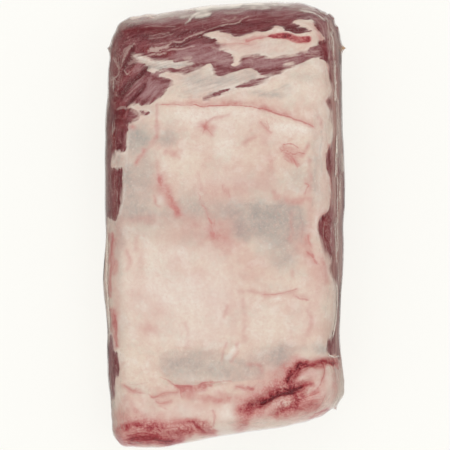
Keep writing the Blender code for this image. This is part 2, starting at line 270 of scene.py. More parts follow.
# Low on the long walls the lean lies bare between long seams of fat.
low_wall = step(-meat_points[:, 2], -0.046, -0.026) * (1 - end_wall)
long_seams = lumps(meat_points * [1, 0.28, 1], 0.016, 43)
long_seams = long_seams + 0.5 * lumps(meat_points * [1, 0.4, 1], 0.008, 44) - 0.30
SEAM_DEPTH = 12.0  # pixels
fat = fat * (1 - low_wall) + long_seams * SEAM_DEPTH * low_wall

# The underside is fat too, with lean in broad windows.
underside = step(-meat_outwards[:, 2], 0.5, 0.9)
windows = lumps(meat_points, 0.045, 7) + 0.5 * lumps(meat_points, 0.018, 8) - 0.35
WINDOW_DEPTH = 14.0
fat = fat * (1 - underside) - windows * WINDOW_DEPTH * underside
keep(meat.data, "fat", fat * PIXEL * 1000)  # in millimetres

# ---------------------------------------------------------------- the meat: thin streaks
# Silverskin and threads of fat lie on the lean in thin pale lines along the muscle. They are drawn as crisp
# lines: each place on the skin knows its nearest one, and the shader draws that.
LINE_REACH = 6.0  # pixels; how far off a place still knows of a line
LINE_TAPER = 2.5  # pixels; how far a line fades out past its ends


def keep_lines(mesh, name, places, lines):
    """Stores how far the nearest crisp line is to the side, in its half widths, and how strong it is."""
    nearest = np.full(len(places), FAR_OFF)
    sides = np.full(len(places), FAR_OFF)
    strengths = np.zeros(len(places))
    for points, half_width, strength in lines:
        line = rounded_line(points)
        near = np.all((places > line.min(0) - LINE_REACH) & (places < line.max(0) + LINE_REACH), axis=1)
        gap, side = gap_to(places[near], line)
        closer = gap < nearest[near]
        index = np.flatnonzero(near)[closer]
        nearest[index] = gap[closer]
        sides[index] = side[closer] / half_width
        beyond_end = np.sqrt(np.maximum(gap[closer] ** 2 - side[closer] ** 2, 0))
        strengths[index] = strength * (1 - step(beyond_end, 0.0, LINE_TAPER))
    keep(mesh, f"{name}_side", sides)
    keep(mesh, f"{name}_strength", strengths)


THREADS = [  # line, half width in pixels, strength
    ([(149, 50.5), (157, 49.5), (163, 48.5), (168, 46)], 1.5, 0.75),
    ([(150, 55.3), (158, 54.5), (165, 53.5)], 0.9, 0.6), ([(166, 46.5), (173, 42.5), (181, 41.2),
    (187, 37.5), (191, 35.5), (197, 33.5), (204, 31)], 0.8, 0.6),
    ([(204, 31), (212, 27.5), (220, 25)], 0.5, 0.3),
    ([(222, 25), (230, 23), (238, 21), (245, 17.5), (250, 15)], 0.6, 0.6),
    ([(168, 51), (176, 49.3), (184, 48), (193, 47.3)], 0.8, 0.55), ([(184, 58), (191, 57.7)], 1.0, 0.6),
    ([(222, 17.5), (229, 19.5), (236, 17.5)], 0.8, 0.4),
    ([(150, 34.5), (160, 33.5), (168, 32.5)], 0.6, 0.35),
    ([(150, 38), (162, 36.5), (172, 33.5)], 0.5, 0.35), ([(146, 26.5), (160, 26), (174, 26.5)], 0.5, 0.3),
    ([(155, 44.5), (166, 43), (175, 41)], 0.5, 0.3),
    ([(134, 43.5), (130, 47), (126.5, 51), (123.5, 56), (121, 62)], 1.2, 0.5),
    ([(129, 46), (124, 50), (121, 55)], 0.5, 0.35),
    ([(113, 58), (115.5, 63.5), (118, 69), (118.5, 74)], 0.8, 0.55),
    ([(117, 58), (117.5, 64), (118, 70)], 0.5, 0.45), ([(122, 61), (120, 66), (118, 71)], 0.6, 0.35),
    ([(111.5, 80), (114, 77.5), (117.5, 75.5), (119, 72)], 0.8, 0.6),
    ([(112, 77), (112.5, 82), (112, 88)], 0.6, 0.45), ([(124, 71.5), (127, 74.5), (129.5, 72)], 0.6, 0.6),
    ([(128, 62.5), (132, 61), (136, 61)], 1.6, 0.34), ([(127, 74.5), (131, 71), (134, 69)], 0.5, 0.4),
    ([(128, 88), (133, 83.5), (138, 79), (143, 76)], 0.8, 0.3),
    ([(125, 97), (131, 91), (138, 85)], 0.7, 0.28), ([(117, 109), (121, 107.5), (126, 107.5)], 0.8, 0.4),
    ([(127, 126), (131, 124.5)], 0.6, 0.35), ([(222, 46), (236, 45), (250, 45.5)], 0.6, 0.35),
    ([(212, 46), (219, 49), (228, 50.5)], 1.0, 0.35), ([(214, 60), (222, 61), (229, 60)], 1.0, 0.25),
    ([(183, 70), (189, 67.5), (195, 68)], 1.2, 0.4), ([(198, 62), (204, 66), (210, 62)], 0.5, 0.2),
    ([(249, 60), (252, 62), (251, 65)], 0.8, 0.25), ([(309, 50), (314, 51.5), (319, 50)], 0.8, 0.4),
    ([(306, 56), (314, 55.5), (321, 55.5)], 0.8, 0.4),
    ([(300, 10), (308, 11.5), (317, 14.5), (323, 19)], 0.7, 0.5),
    ([(304, 8), (314, 9.5), (324, 13.5)], 0.5, 0.35), ([(316, 18), (321, 24), (326, 32)], 0.6, 0.25),
    ([(331, 31), (333.5, 37), (334, 44), (334.5, 56)], 0.9, 0.5),
    ([(328, 22), (329.5, 34), (330.5, 48)], 0.6, 0.3), ([(334.8, 62), (335, 72), (336, 84)], 0.7, 0.45),
    ([(333, 84), (333, 92), (331, 97)], 1.0, 0.3),
    ([(335, 84), (336.5, 100), (338, 120), (337.5, 140)], 0.6, 0.45),
    ([(337, 138), (336.6, 154), (337.5, 172)], 0.7, 0.75),
    ([(337, 172), (336.5, 190), (335.5, 210)], 0.6, 0.4),
    ([(334, 222), (336.5, 240), (337, 256)], 0.6, 0.45),
    ([(324, 252), (328, 262), (333, 274), (337, 282)], 0.6, 0.3),
    ([(327, 218), (324, 226), (325, 238), (328, 250)], 0.45, 0.3),
    ([(319, 236), (323, 241), (325, 250)], 0.6, 0.35),
]
keep_lines(meat.data, "thread", seen, THREADS)

# ---------------------------------------------------------------- the meat: blood, veins and thin fat
# Blood stains the fat pink where the knife opened a vein, and lies dark and granular in the clefts, which are
# also drawn darker the deeper they are, as painted shade. Where the fat is thinner over muscle it turns grey,
# and where it is thicker it is white. Small white spots are painted glints, and the fat island at the upper
# left has painted highlights and shade.


def stroke(places, line, half_width, strength=1.0):
    """A soft stroke of that strength along a line."""
    line = rounded_line(line)
    reach = half_width * 3
    found = np.zeros(len(places))
    near = np.all((places > line.min(0) - reach) & (places < line.max(0) + reach), axis=1)
    gap, _ = gap_to(places[near], line)
    found[near] = strength * np.exp(-((gap / half_width) ** 2))
    return found


def spot(places, middle, half_sizes, strength=1.0, degrees=0.0):
    """A soft oval spot. It turns anticlockwise as seen."""
    turn = math.radians(degrees)
    x, y = (places - middle).T
    along = (x * math.cos(turn) - y * math.sin(turn)) / half_sizes[0]
    across = (x * math.sin(turn) + y * math.cos(turn)) / half_sizes[1]
    return strength * np.exp(-(along**2 + across**2))


def painted(places, lines=(), spots=()):
    """Soft strokes and spots laid over each other like thin coats of paint."""
    found = np.zeros(len(places))
    for line, half_width, strength in lines:
        found = found + stroke(places, line, half_width, strength) * np.maximum(1 - 0.6 * found, 0)
    for middle, half_sizes, strength in spots:
        found = found + spot(places, middle, half_sizes, strength) * np.maximum(1 - found, 0)
    return found


STAINS = [  # soft: line, half width in pixels, strength: 0.5 is pink, 1 is red and 1.5 is clotted
    # round the long crease below the far end, and the vein that drops from it
    ([(162, 104), (185, 103), (210, 103.5), (240, 103)], 1.8, 0.22),
    ([(190, 102), (215, 101), (240, 101), (262, 104), (284, 111)], 4.0, 0.12),
    ([(222, 102), (240, 102.5), (256, 104), (270, 109)], 2.2, 0.16),
    ([(262, 108), (276, 113), (290, 115), (302, 121), (313, 126)], 2.2, 0.3),
    ([(156, 104), (157, 116), (156.5, 128), (157, 138)], 1.5, 0.24),
    ([(156, 138), (149, 146), (141, 156), (136, 164)], 2.6, 0.2),
    ([(143, 150), (139, 157), (137, 162)], 2.0, 0.26),
    # the long smear on the left
    ([(158, 160), (158.5, 170), (161, 182)], 2.4, 0.16),
    ([(161, 180), (165, 191), (171, 202), (177, 211)], 5.6, 0.36),
    ([(166, 194), (171, 203), (176, 210)], 3.4, 0.1), ([(176, 206), (184, 216), (194, 224)], 6.0, 0.14),
    ([(154, 196), (155, 203), (160, 207)], 1.4, 0.26),
    # the star below the crease
    ([(205, 125), (211, 121), (220, 117), (229, 115)], 2.4, 0.2),
    ([(203, 124), (208, 130), (212, 134)], 3.4, 0.2), ([(199, 127), (206, 127), (214, 128)], 4.6, 0.18),
    ([(166, 151), (173, 153), (181, 151)], 2.8, 0.2), ([(173, 156), (179, 157)], 2.2, 0.2),
    # the middle
    ([(202, 200), (206, 212), (211, 226), (213, 240)], 3.2, 0.13),
    ([(222, 186), (225, 190), (229, 195)], 2.4, 0.12), ([(198, 172), (201, 182), (200, 190)], 1.6, 0.12),
    ([(214, 236), (222, 241), (230, 246)], 8.0, 0.12), ([(208, 230), (216, 236), (222, 240)], 4.6, 0.08),
    # the upper right
    ([(262, 122), (266, 128), (270, 133)], 2.6, 0.22),
    ([(266, 134), (264, 142), (266, 152), (272, 170)], 4.4, 0.14),
    ([(244, 143), (249, 139), (255, 138)], 2.6, 0.22), ([(284, 146), (292, 150), (300, 154)], 3.4, 0.22),
    ([(286, 155), (292, 158), (297, 164)], 3.0, 0.34), ([(309, 144), (307, 149), (303, 153)], 2.0, 0.28),
    ([(318, 117), (321, 121), (323, 127)], 1.8, 0.2), ([(310, 160), (309, 172), (311, 180)], 2.0, 0.18),
    ([(305, 180), (308, 188), (306, 196)], 3.0, 0.22), ([(272, 191), (277, 198)], 3.0, 0.26),
    ([(286, 201), (294, 203), (302, 200)], 3.2, 0.18), ([(292, 214), (292, 228), (290, 240)], 3.0, 0.16),
    ([(310, 198), (310, 214), (309, 232)], 3.0, 0.1), ([(308, 237), (310, 245)], 3.0, 0.26),
    ([(309, 252), (314, 260), (317, 263)], 3.0, 0.3), ([(304, 228), (306, 246), (310, 262)], 5.0, 0.12),
    ([(322, 258), (326, 270), (327, 284)], 2.4, 0.16),
    # round the brightest spot
    ([(240, 292), (254, 292), (266, 295), (276, 294), (296, 290)], 2.2, 0.2),
    ([(293, 272), (292, 276)], 2.0, 0.22), ([(294, 295), (300, 297), (306, 299)], 2.2, 0.2),
    ([(243, 300), (245, 318), (243, 342)], 3.4, 0.16), ([(226, 306), (225, 318)], 2.2, 0.16),
    ([(308, 310), (311, 322), (309, 336)], 2.6, 0.16), ([(185, 322), (188, 334), (186, 346)], 2.4, 0.12),
    ([(228, 343), (224, 352), (222, 360)], 1.6, 0.2), ([(238, 343), (237, 352), (231, 361)], 1.6, 0.18),
    ([(127, 250), (130, 258), (128, 268)], 2.6, 0.2), ([(137, 236), (136, 248)], 2.2, 0.14),
    # folds at the lower left
    ([(123, 387), (130, 390), (140, 391.5)], 2.4, 0.28),
    ([(126, 396), (132, 404), (136, 412)], 3.0, 0.14),
    ([(152, 397), (159, 396.5), (167, 393), (177, 392)], 2.2, 0.26),
    ([(157, 402), (163, 403), (170, 401)], 2.4, 0.26), ([(168, 381), (176, 386), (182, 391)], 1.8, 0.22),
    ([(177, 386), (188, 387), (201, 386), (210, 384)], 2.2, 0.4),
    ([(183, 390), (192, 391), (203, 389)], 4.2, 0.36), ([(184, 397), (196, 398), (206, 400)], 3.6, 0.24),
    ([(210, 398), (218, 400), (228, 399)], 3.0, 0.36), ([(220, 392), (232, 396), (244, 400)], 4.0, 0.16),
    ([(214, 411), (214.5, 418), (214, 425)], 1.8, 0.18),
    ([(249, 365), (256, 366), (262, 370)], 2.4, 0.24),
    # the left edge
    ([(110.5, 234), (110, 250), (109.3, 266), (109.3, 296)], 1.8, 0.42),
    ([(113, 240), (113, 254), (114, 262), (113, 274)], 2.8, 0.26),
    ([(115, 262), (116, 268), (114, 274)], 2.6, 0.12),
    ([(112, 312), (114, 324), (115.5, 334), (116, 345)], 3.2, 0.44),
    ([(112, 316), (114, 330), (115, 346)], 4.0, 0.16),
    # the red corner at the lower left, in fibres across the roast
    ([(116, 432), (124, 427), (140, 424), (164, 425), (190, 423), (206, 425)], 5.0, 0.5),
    ([(122, 428), (134, 425), (150, 428), (164, 431)], 3.8, 0.5),
    ([(118, 440), (134, 435), (152, 433), (172, 434), (190, 434)], 4.6, 0.6),
    ([(132, 440), (148, 438), (166, 440), (182, 441)], 3.6, 0.92),
    ([(118, 446), (130, 444), (150, 443.5), (176, 445)], 3.2, 0.85),
    ([(180, 430), (192, 431), (204, 432), (214, 434)], 4.2, 0.46),
    ([(188, 420), (195, 425), (201, 430), (206, 433)], 2.0, 0.4),
    ([(196, 420), (206, 425), (214, 432)], 3.2, 0.26),
    # the clefts at the lower right
    ([(242, 411), (250, 407), (258, 404), (266, 401), (276, 394), (288, 391), (298, 388)], 7.0, 0.52),
    ([(244, 409), (254, 405), (262, 402), (270, 397), (280, 393), (291, 391)], 3.4, 0.46),
    ([(262, 401), (276, 395), (289, 391.5)], 2.2, 0.56),
    ([(266, 401), (276, 394.5), (284, 391.5)], 3.6, 0.5),
    ([(288, 391.5), (296, 389.5), (302, 385.5), (312, 384)], 3.0, 0.66),
    ([(292, 391), (289, 381), (293, 373), (300, 367)], 6.2, 0.8),
    ([(292, 390), (291, 381), (295, 370)], 3.6, 0.44),
    ([(296, 368), (304, 365), (318, 363), (330, 361.5), (337, 361.5)], 4.2, 0.66),
    ([(297, 365.5), (310, 364), (322, 363), (334, 362)], 3.0, 0.34),
    ([(276, 372), (286, 364), (296, 358)], 4.0, 0.2), ([(292, 392), (297, 398), (294, 405)], 3.4, 0.66),
    ([(276, 413), (290, 408), (303, 409), (316, 406)], 4.4, 0.54),
    ([(262, 413), (274, 415), (286, 413)], 4.0, 0.24), ([(296, 398), (306, 396), (318, 392)], 3.4, 0.32),
    ([(298, 386), (306, 389), (302, 394)], 2.4, 0.3), ([(322, 366), (326, 372), (324, 380)], 3.0, 0.3),
    ([(334, 364), (337.5, 371), (338, 378)], 2.4, 0.6),
    ([(242, 403), (256, 396), (276, 385), (287, 374)], 8.0, 0.27),
    ([(262, 404), (252, 409), (246, 418), (240, 429)], 5.4, 0.44),
    ([(256, 410), (250, 416), (246, 424)], 2.4, 0.26),
    ([(309, 420), (318, 415.5), (328, 410)], 1.6, 0.36),
    ([(236, 387), (244, 388), (252, 390)], 3.0, 0.32),
    # the red stripe in the island at the far end
    ([(246, 40.5), (258, 38), (268, 35), (280, 33)], 1.7, 0.4),
    ([(222, 44.5), (236, 43), (252, 45)], 1.6, 0.22), ([(232, 38), (246, 40), (256, 43)], 1.8, 0.2),
    # the lean is reddest at the left and in the patch on the right edge
    ([(121, 30), (140, 29), (160, 30)], 4.0, 0.3), ([(112, 50), (114, 66), (112, 84)], 4.0, 0.3),
    ([(143, 46), (150, 50), (158, 53), (170, 54)], 4.0, 0.5),
    ([(138, 66), (130, 72), (124, 80), (116, 92)], 4.0, 0.4),
    ([(116, 104), (124, 112), (120, 122), (112, 132)], 6.0, 0.5), ([(112, 136), (112, 148)], 4.0, 0.4),
    ([(112, 170), (114, 190), (113, 214)], 4.0, 0.3), ([(233, 28), (246, 30), (260, 28)], 3.0, 0.3),
    ([(315, 24), (322, 40), (327, 54)], 3.0, 0.4), ([(326, 216), (325, 228), (330, 244)], 6.0, 0.5),
    ([(330, 145), (329, 160), (332, 176)], 2.4, 0.4), ([(329, 64), (331, 76)], 2.0, 0.35),
    ([(328, 100), (331, 106)], 2.4, 0.4), ([(332, 180), (332, 192), (332, 206)], 1.6, 0.5),
    ([(110, 352), (114, 366)], 4.0, 0.2),
]
VEINS = [  # crisp: line, half width, strength
    ([(160, 105), (176, 104.5), (192, 105.2)], 0.5, 0.3),
    ([(192, 105.2), (215, 105.2), (238, 104.8), (252, 106)], 0.5, 0.45),
    ([(252, 106), (262, 108.5), (270, 111.5), (280, 115), (290, 116)], 0.8, 0.36),
    ([(290, 116), (298, 119.5), (306, 123), (314, 126)], 0.8, 0.3),
    ([(203, 134), (205.5, 127), (206, 120)], 0.5, 0.14),
    ([(198, 126.5), (206, 126), (213, 129)], 0.5, 0.1), ([(205, 125), (209, 131), (213, 135)], 0.6, 0.12),
    ([(206, 124), (211, 120), (216, 117)], 0.5, 0.14), ([(198, 194), (201, 198), (199, 201)], 0.5, 0.16),
    ([(203, 206), (206, 210)], 0.8, 0.2), ([(206, 213), (208.5, 218)], 0.6, 0.12),
    ([(209, 219), (212, 224)], 1.1, 0.24), ([(212, 227), (213, 231)], 0.5, 0.1),
    ([(214.5, 220), (215.5, 226)], 0.5, 0.16), ([(222, 186), (224, 192)], 0.5, 0.14),
    ([(228, 190), (230, 198)], 0.5, 0.12),
    ([(284, 144), (289, 142.8), (294, 144.5), (297, 147.5)], 0.6, 0.42),
    ([(282, 150.5), (285, 149), (289, 151), (293, 153.5), (298, 153), (303, 153)], 0.5, 0.3),
    ([(281, 148), (284, 152), (289, 154)], 0.5, 0.26), ([(291, 155), (294, 159), (296, 166)], 0.8, 0.18),
    ([(286, 159), (290, 161)], 0.5, 0.2), ([(262, 122), (265, 127), (270, 132)], 0.7, 0.1),
    ([(267, 121), (269, 127)], 0.5, 0.2), ([(305.5, 183), (308, 185), (306, 188)], 0.6, 0.26),
    ([(306, 189), (305, 193)], 0.5, 0.2), ([(262, 295), (274, 294.5), (284, 292), (296, 289)], 0.5, 0.22),
    ([(297, 297), (300, 299)], 0.6, 0.24), ([(302, 299.5), (307, 300)], 0.7, 0.2),
    ([(308, 236), (310, 243)], 1.0, 0.14), ([(311, 254), (313, 257)], 1.0, 0.18),
    ([(315, 260), (317, 263)], 1.1, 0.18), ([(307, 252), (312, 257)], 0.6, 0.2),
    ([(318, 262), (322, 270), (323, 278)], 0.5, 0.1), ([(301, 216), (303, 226), (302, 238)], 0.5, 0.08),
    ([(291, 220), (293, 230)], 0.5, 0.1),
    ([(111.5, 236), (111, 250), (110.5, 266), (110.5, 292)], 0.8, 0.14),
    ([(112, 252), (113, 262), (111.5, 270)], 0.7, 0.14),
    ([(114, 316), (116, 326), (117, 336)], 0.8, 0.16), ([(117, 334), (118, 346)], 0.7, 0.1),
    ([(124, 386), (129, 389.5), (134, 391), (136, 388.5)], 0.7, 0.16),
    ([(131, 394), (137, 392.5), (144, 393)], 0.5, 0.12),
    ([(150, 381), (140, 384.5), (128, 384)], 0.5, 0.1),
    ([(149, 395), (153, 398), (157, 396.5)], 0.8, 0.18),
    ([(158, 395.5), (166, 392.5), (177, 392)], 0.6, 0.16),
    ([(156, 402), (160, 404), (166, 402)], 0.6, 0.16), ([(160, 407), (166, 409)], 0.5, 0.14),
    ([(161, 378), (168, 380.5), (175, 385), (180, 389), (182, 396)], 0.6, 0.2),
    ([(176, 384.5), (182, 386), (190, 386.5)], 0.8, 0.26),
    ([(190, 385), (200, 384.5), (208, 382)], 0.6, 0.2), ([(208, 382), (218, 382), (230, 381)], 0.6, 0.24),
    ([(214, 411), (214.8, 418), (214, 425)], 0.8, 0.14),
    ([(323, 364), (326, 371), (324.5, 378), (319, 388)], 0.7, 0.26),
    ([(325, 395), (323, 403), (317, 411)], 0.7, 0.24), ([(316, 414), (324, 411.5), (330, 409)], 0.7, 0.5),
    ([(300, 400), (312, 396), (320, 391)], 0.6, 0.18), ([(298, 404), (308, 402), (322, 399)], 0.6, 0.16),
    ([(236, 386), (243, 388), (250, 389)], 0.8, 0.14), ([(247, 388), (252, 390)], 1.1, 0.28),
    ([(128, 436), (142, 434), (158, 435)], 0.6, 0.34), ([(122, 441), (138, 438), (156, 437)], 0.6, 0.3),
    ([(140, 441), (156, 440), (172, 442)], 0.7, 0.34), ([(132, 430), (140, 427.5), (150, 428)], 0.7, 0.2),
    ([(126, 425), (134, 421.5)], 0.7, 0.2), ([(158, 427), (168, 429), (176, 428)], 0.6, 0.24),
    ([(191, 421), (197, 427), (206, 433)], 0.8, 0.22), ([(182, 424), (188, 428)], 0.6, 0.24),
    ([(262, 402.5), (270, 398), (279, 394), (290, 392)], 1.0, 0.34),
    ([(252, 406), (262, 402.5)], 0.7, 0.16), ([(290, 391), (298, 388), (306, 385)], 0.8, 0.3),
    ([(291, 388), (290, 380), (293, 374)], 0.9, 0.3),
    ([(300, 365), (312, 363.5), (326, 361.5)], 0.9, 0.2),
    ([(294, 392), (296, 400), (291, 406)], 0.7, 0.24), ([(282, 411), (292, 408), (304, 410)], 0.7, 0.24),
    ([(250, 40.5), (262, 37.5), (272, 35)], 0.5, 0.2), ([(222, 44), (234, 42.5), (248, 44)], 0.5, 0.14),
    ([(272, 35.5), (280, 34), (289, 35.5)], 1.0, 0.1),
]
RED_PANES = [  # outline, how soft the edge is, strength
    ([(268, 36), (273, 33.2), (282, 32), (289, 33), (293, 35.5), (292, 40.5), (284, 39),
    (275, 38)], 0.9, 1.12), ([(288, 33.5), (300, 35.5), (310, 36), (310.5, 41.5), (302, 43), (296, 42.5),
    (289, 40.5)], 1.0, 1.02),
]
FLUSHES = [  # soft pink areas: middle, half sizes, strength
    ((212, 192), (22, 12), 0.08), ((236, 190), (16, 10), 0.1), ((222, 232), (24, 20), 0.2),
    ((190, 232), (20, 12), 0.08), ((146, 219), (20, 5), 0.18), ((296, 202), (16, 6), 0.14),
    ((268, 176), (9, 14), 0.14), ((246, 186), (26, 6), 0.1), ((132, 128), (5, 3), 0.4),
    ((250, 276), (22, 8), 0.14), ((176, 262), (8, 9), 0.08), ((300, 246), (10, 16), 0.14),
    ((134, 296), (8, 7), 0.12), ((158, 310), (9, 8), 0.13), ((146, 329), (12, 7), 0.16),
    ((199, 273), (8, 8), 0.14), ((212, 306), (7, 22), 0.06), ((290, 312), (14, 10), 0.06),
    ((226, 300), (8, 24), 0.08), ((312, 300), (10, 22), 0.14), ((150, 408), (30, 10), 0.08),
    ((196, 408), (20, 6), 0.08), ((140, 416), (26, 6), 0.12), ((286, 400), (26, 12), 0.16),
    ((312, 400), (20, 10), 0.16), ((222, 398), (12, 6), 0.12), ((118, 236), (5, 18), 0.12),
    ((322, 272), (7, 16), 0.18), ((208, 152), (7, 16), 0.1), ((300, 340), (12, 8), 0.1),
    ((115, 300), (5, 30), 0.12), ((262, 384), (14, 6), 0.12), ((124, 412), (8, 14), 0.18),
    ((152, 190), (9, 10), 0.08), ((256, 130), (12, 8), 0.1), ((250, 48), (30, 5), 0.12),
    ((140, 420), (30, 7), 0.18), ((196, 434), (14, 5), 0.18), ((310, 374), (12, 8), 0.22),
    ((298, 408), (20, 7), 0.14), ((256, 412), (10, 12), 0.2), ((337, 381), (6, 20), 0.34),
    ((290, 416), (40, 5), 0.12), ((318, 388), (14, 10), 0.14), ((276, 378), (20, 12), 0.2),
    ((308, 404), (18, 7), 0.22), ((140, 262), (5, 14), 0.12), ((150, 300), (14, 10), 0.06),
    ((172, 316), (14, 8), 0.04), ((186, 276), (16, 8), 0.04), ((205, 290), (10, 14), 0.04),
    ((160, 332), (20, 6), 0.06), ((234, 320), (6, 26), 0.08), ((256, 262), (20, 8), 0.1),
    ((150, 396), (20, 8), 0.06), ((300, 418), (24, 5), 0.14), ((238, 424), (12, 5), 0.1),
    ((222, 170), (14, 10), 0.06),
]
THIN_FAT_AND_SHADE = [  # grey where muscle shows through, and painted shade on the fat island: middle, half sizes, strength
    ((139, 138), (10, 10), 0.95), ((133, 148), (6, 8), 0.5), ((168, 138), (8, 8), 0.45),
    ((128, 132), (4, 8), 0.4), ((154, 138), (10, 5), 0.25), ((126, 176), (5, 12), 0.6),
    ((130, 192), (7, 14), 0.5), ((132, 210), (11, 8), 0.5), ((148, 180), (8, 14), 0.3),
    ((140, 230), (24, 14), 0.26), ((190, 200), (10, 12), 0.2), ((148, 166), (10, 5), 0.2),
    ((258, 210), (7, 10), 0.65), ((272, 214), (18, 10), 0.8), ((242, 230), (9, 8), 0.85),
    ((262, 228), (20, 10), 0.6), ((296, 222), (12, 12), 0.6), ((288, 206), (16, 5), 0.45),
    ((236, 210), (14, 10), 0.42), ((117, 160), (7, 8), 0.45), ((274, 240), (16, 8), 0.4),
    ((284, 258), (14, 14), 0.45), ((262, 248), (8, 10), 0.2), ((300, 176), (14, 12), 0.3),
    ((314, 180), (6, 20), 0.3), ((176, 366), (14, 11), 0.55), ((198, 364), (16, 13), 0.5),
    ((222, 370), (14, 10), 0.4), ((246, 372), (16, 10), 0.3), ((236, 390), (10, 8), 0.22),
    ((262, 360), (14, 10), 0.4), ((280, 356), (9, 11), 0.75), ((284, 372), (8, 8), 0.4),
    ((300, 350), (14, 5), 0.3), ((322, 349), (9, 5), 0.6), ((262, 384), (8, 5), 0.2),
    ((196, 79), (14, 8), 0.5), ((214, 84), (14, 9), 0.45), ((232, 78), (14, 7), 0.48),
    ((252, 76), (10, 6), 0.6), ((190, 92), (16, 4), 0.35), ((258, 92), (12, 3), 0.45),
    ((274, 95), (12, 3), 0.55), ((286, 88), (8, 5), 0.3), ((304, 76), (14, 8), 0.22),
    # painted shade on the fat island at the upper left: the three spots of this line
    ((142, 60), (8, 4), 0.45), ((164, 66), (20, 5), 0.5), ((188, 65), (8, 3), 0.45),
    ((268, 54), (34, 4), 0.2), ((262, 44), (36, 6), 0.16), ((232, 36), (14, 3), 0.2),
    ((150, 112), (10, 6), 0.25), ((318, 150), (6, 40), 0.28), ((320, 200), (6, 12), 0.25),
    ((302, 64), (10, 3), 0.3), ((170, 122), (9, 8), 0.18), ((305, 376), (10, 4), 0.15),
    ((120, 236), (5, 20), 0.25), ((138, 132), (12, 14), 0.26), ((210, 212), (56, 12), 0.46),
    ((150, 218), (24, 12), 0.3), ((140, 160), (18, 12), 0.34), ((190, 206), (16, 14), 0.16),
    ((200, 236), (30, 14), 0.18), ((236, 218), (12, 14), 0.3), ((272, 186), (40, 12), 0.18),
    ((150, 190), (16, 16), 0.16), ((132, 100), (16, 6), 0.2), ((114, 240), (6, 30), 0.3),
    ((108, 336), (5, 20), 0.4), ((108, 392), (6, 16), 0.4), ((300, 236), (10, 12), 0.2),
    ((136, 178), (16, 16), 0.15), ((120, 270), (4, 26), 0.18), ((122, 330), (5, 16), 0.16),
    ((110, 412), (5, 14), 0.25), ((274, 288), (12, 6), 0.12),
]
GREY_PANES = [  # broad thin places with an edge: outline, how soft the edge is, strength
    ([(160, 354), (176, 350), (200, 351), (224, 353), (246, 360), (264, 368), (262, 380), (246, 386),
    (228, 382), (200, 385), (180, 386), (169, 380), (162, 371)], 2.2, 0.22), ([(249, 204), (262, 203),
    (288, 205), (304, 210), (303, 236), (284, 245), (262, 238), (246, 242), (236, 232), (238, 218),
    (248, 214)], 4.0, 0.36), ([(131, 130), (148, 130), (148, 144), (131, 146)], 2.5, 0.26),
    ([(161, 131), (175, 131), (175, 146), (161, 146)], 2.5, 0.2),
    ([(268, 242), (294, 246), (298, 262), (286, 272), (272, 264)], 4.0, 0.2),
    ([(272, 348), (290, 346), (293, 358), (284, 368), (272, 362)], 3.0, 0.26),
    ([(124, 166), (136, 168), (152, 182), (150, 206), (150, 218), (122, 216)], 4.0, 0.26),
]
THICK_FAT_AND_GLINTS = [  # white where the fat is thicker, and small painted glints: middle, half sizes, strength
    ((284, 128), (13, 5), 0.9), ((302, 131), (12, 5), 0.9), ((272, 138), (10, 6), 0.4),
    ((190, 116), (22, 9), 0.45), ((222, 84), (40, 10), 0.35), ((206, 126), (30, 18), 0.15),
    ((236, 112), (24, 5), 0.35), ((226, 146), (14, 22), 0.36), ((188, 164), (14, 14), 0.08),
    ((160, 154), (8, 8), 0.2), ((178, 254), (14, 6), 0.35), ((152, 276), (9, 16), 0.4),
    ((190, 284), (14, 7), 0.35), ((214, 262), (10, 14), 0.25), ((160, 340), (14, 6), 0.22),
    ((200, 338), (18, 6), 0.22), ((260, 318), (18, 18), 0.28), ((300, 324), (14, 14), 0.25),
    ((290, 100), (14, 6), 0.25), ((312, 90), (9, 12), 0.22), ((232, 52), (8, 4), 0.5),
    # painted glints: the spots a pixel or two across, from here to (212, 409)
    ((262, 48), (22, 5), 0.35), ((148, 365), (2.2, 3), 0.8), ((277, 298.5), (4.5, 2.2), 1.0),
    ((271, 247), (1.8, 2.8), 0.85), ((291, 262), (1.6, 2.6), 0.75), ((296, 296), (1.4, 1.4), 0.6),
    ((170, 364), (1.2, 1.2), 0.9), ((217, 372), (1.2, 1.2), 0.9), ((165, 371), (1.8, 1.8), 0.6),
    ((206.5, 386), (2.4, 2.4), 1.0), ((243, 390), (2.2, 1.4), 0.95), ((212, 409), (2, 1), 0.7),
    ((167, 205), (2, 2), 0.2), ((310, 373), (11, 4.5), 0.55), ((280, 404), (6, 4), 0.5),
    ((320, 396), (10, 6), 0.35), ((332, 384), (6, 12), 0.45), ((226, 416), (10, 8), 0.55),
    ((138, 406), (14, 6), 0.3), ((186, 408), (16, 5), 0.25), ((159.5, 199), (3.8, 4.8), 1.0),
    ((133, 436), (6, 1.2), 0.6), ((330, 406), (6, 4), 0.6), ((318, 411), (8, 3), 0.4),
    ((262, 416), (9, 5), 0.25), ((310, 20), (6, 2), 0.6), ((318, 32), (4, 4), 0.5),
    ((286, 28), (6, 2), 0.5), ((170, 66), (12, 2), 0.3), ((196, 306), (8, 6), 0.2),
    ((130, 280), (8, 24), 0.18), ((168, 296), (40, 30), 0.6), ((216, 300), (24, 30), 0.55),
    ((168, 252), (40, 10), 0.3), ((190, 332), (40, 10), 0.34), ((326, 130), (5, 40), 0.22),
    ((328, 190), (4, 16), 0.22), ((224, 182), (40, 8), 0.3), ((240, 118), (34, 8), 0.3),
    ((156, 430), (60, 4), 0.1), ((228, 412), (9, 9), 0.6), ((186, 412), (26, 6), 0.4),
    ((320, 402), (14, 10), 0.3), ((300, 300), (30, 20), 0.2), ((268, 336), (30, 8), 0.14),
    ((150, 258), (24, 10), 0.14), ((336, 310), (6, 24), 0.2), ((340, 392), (8, 14), 0.4),
    ((224, 432), (44, 7), 0.6), ((296, 421), (34, 7), 0.4), ((338, 400), (8, 8), 0.5),
]
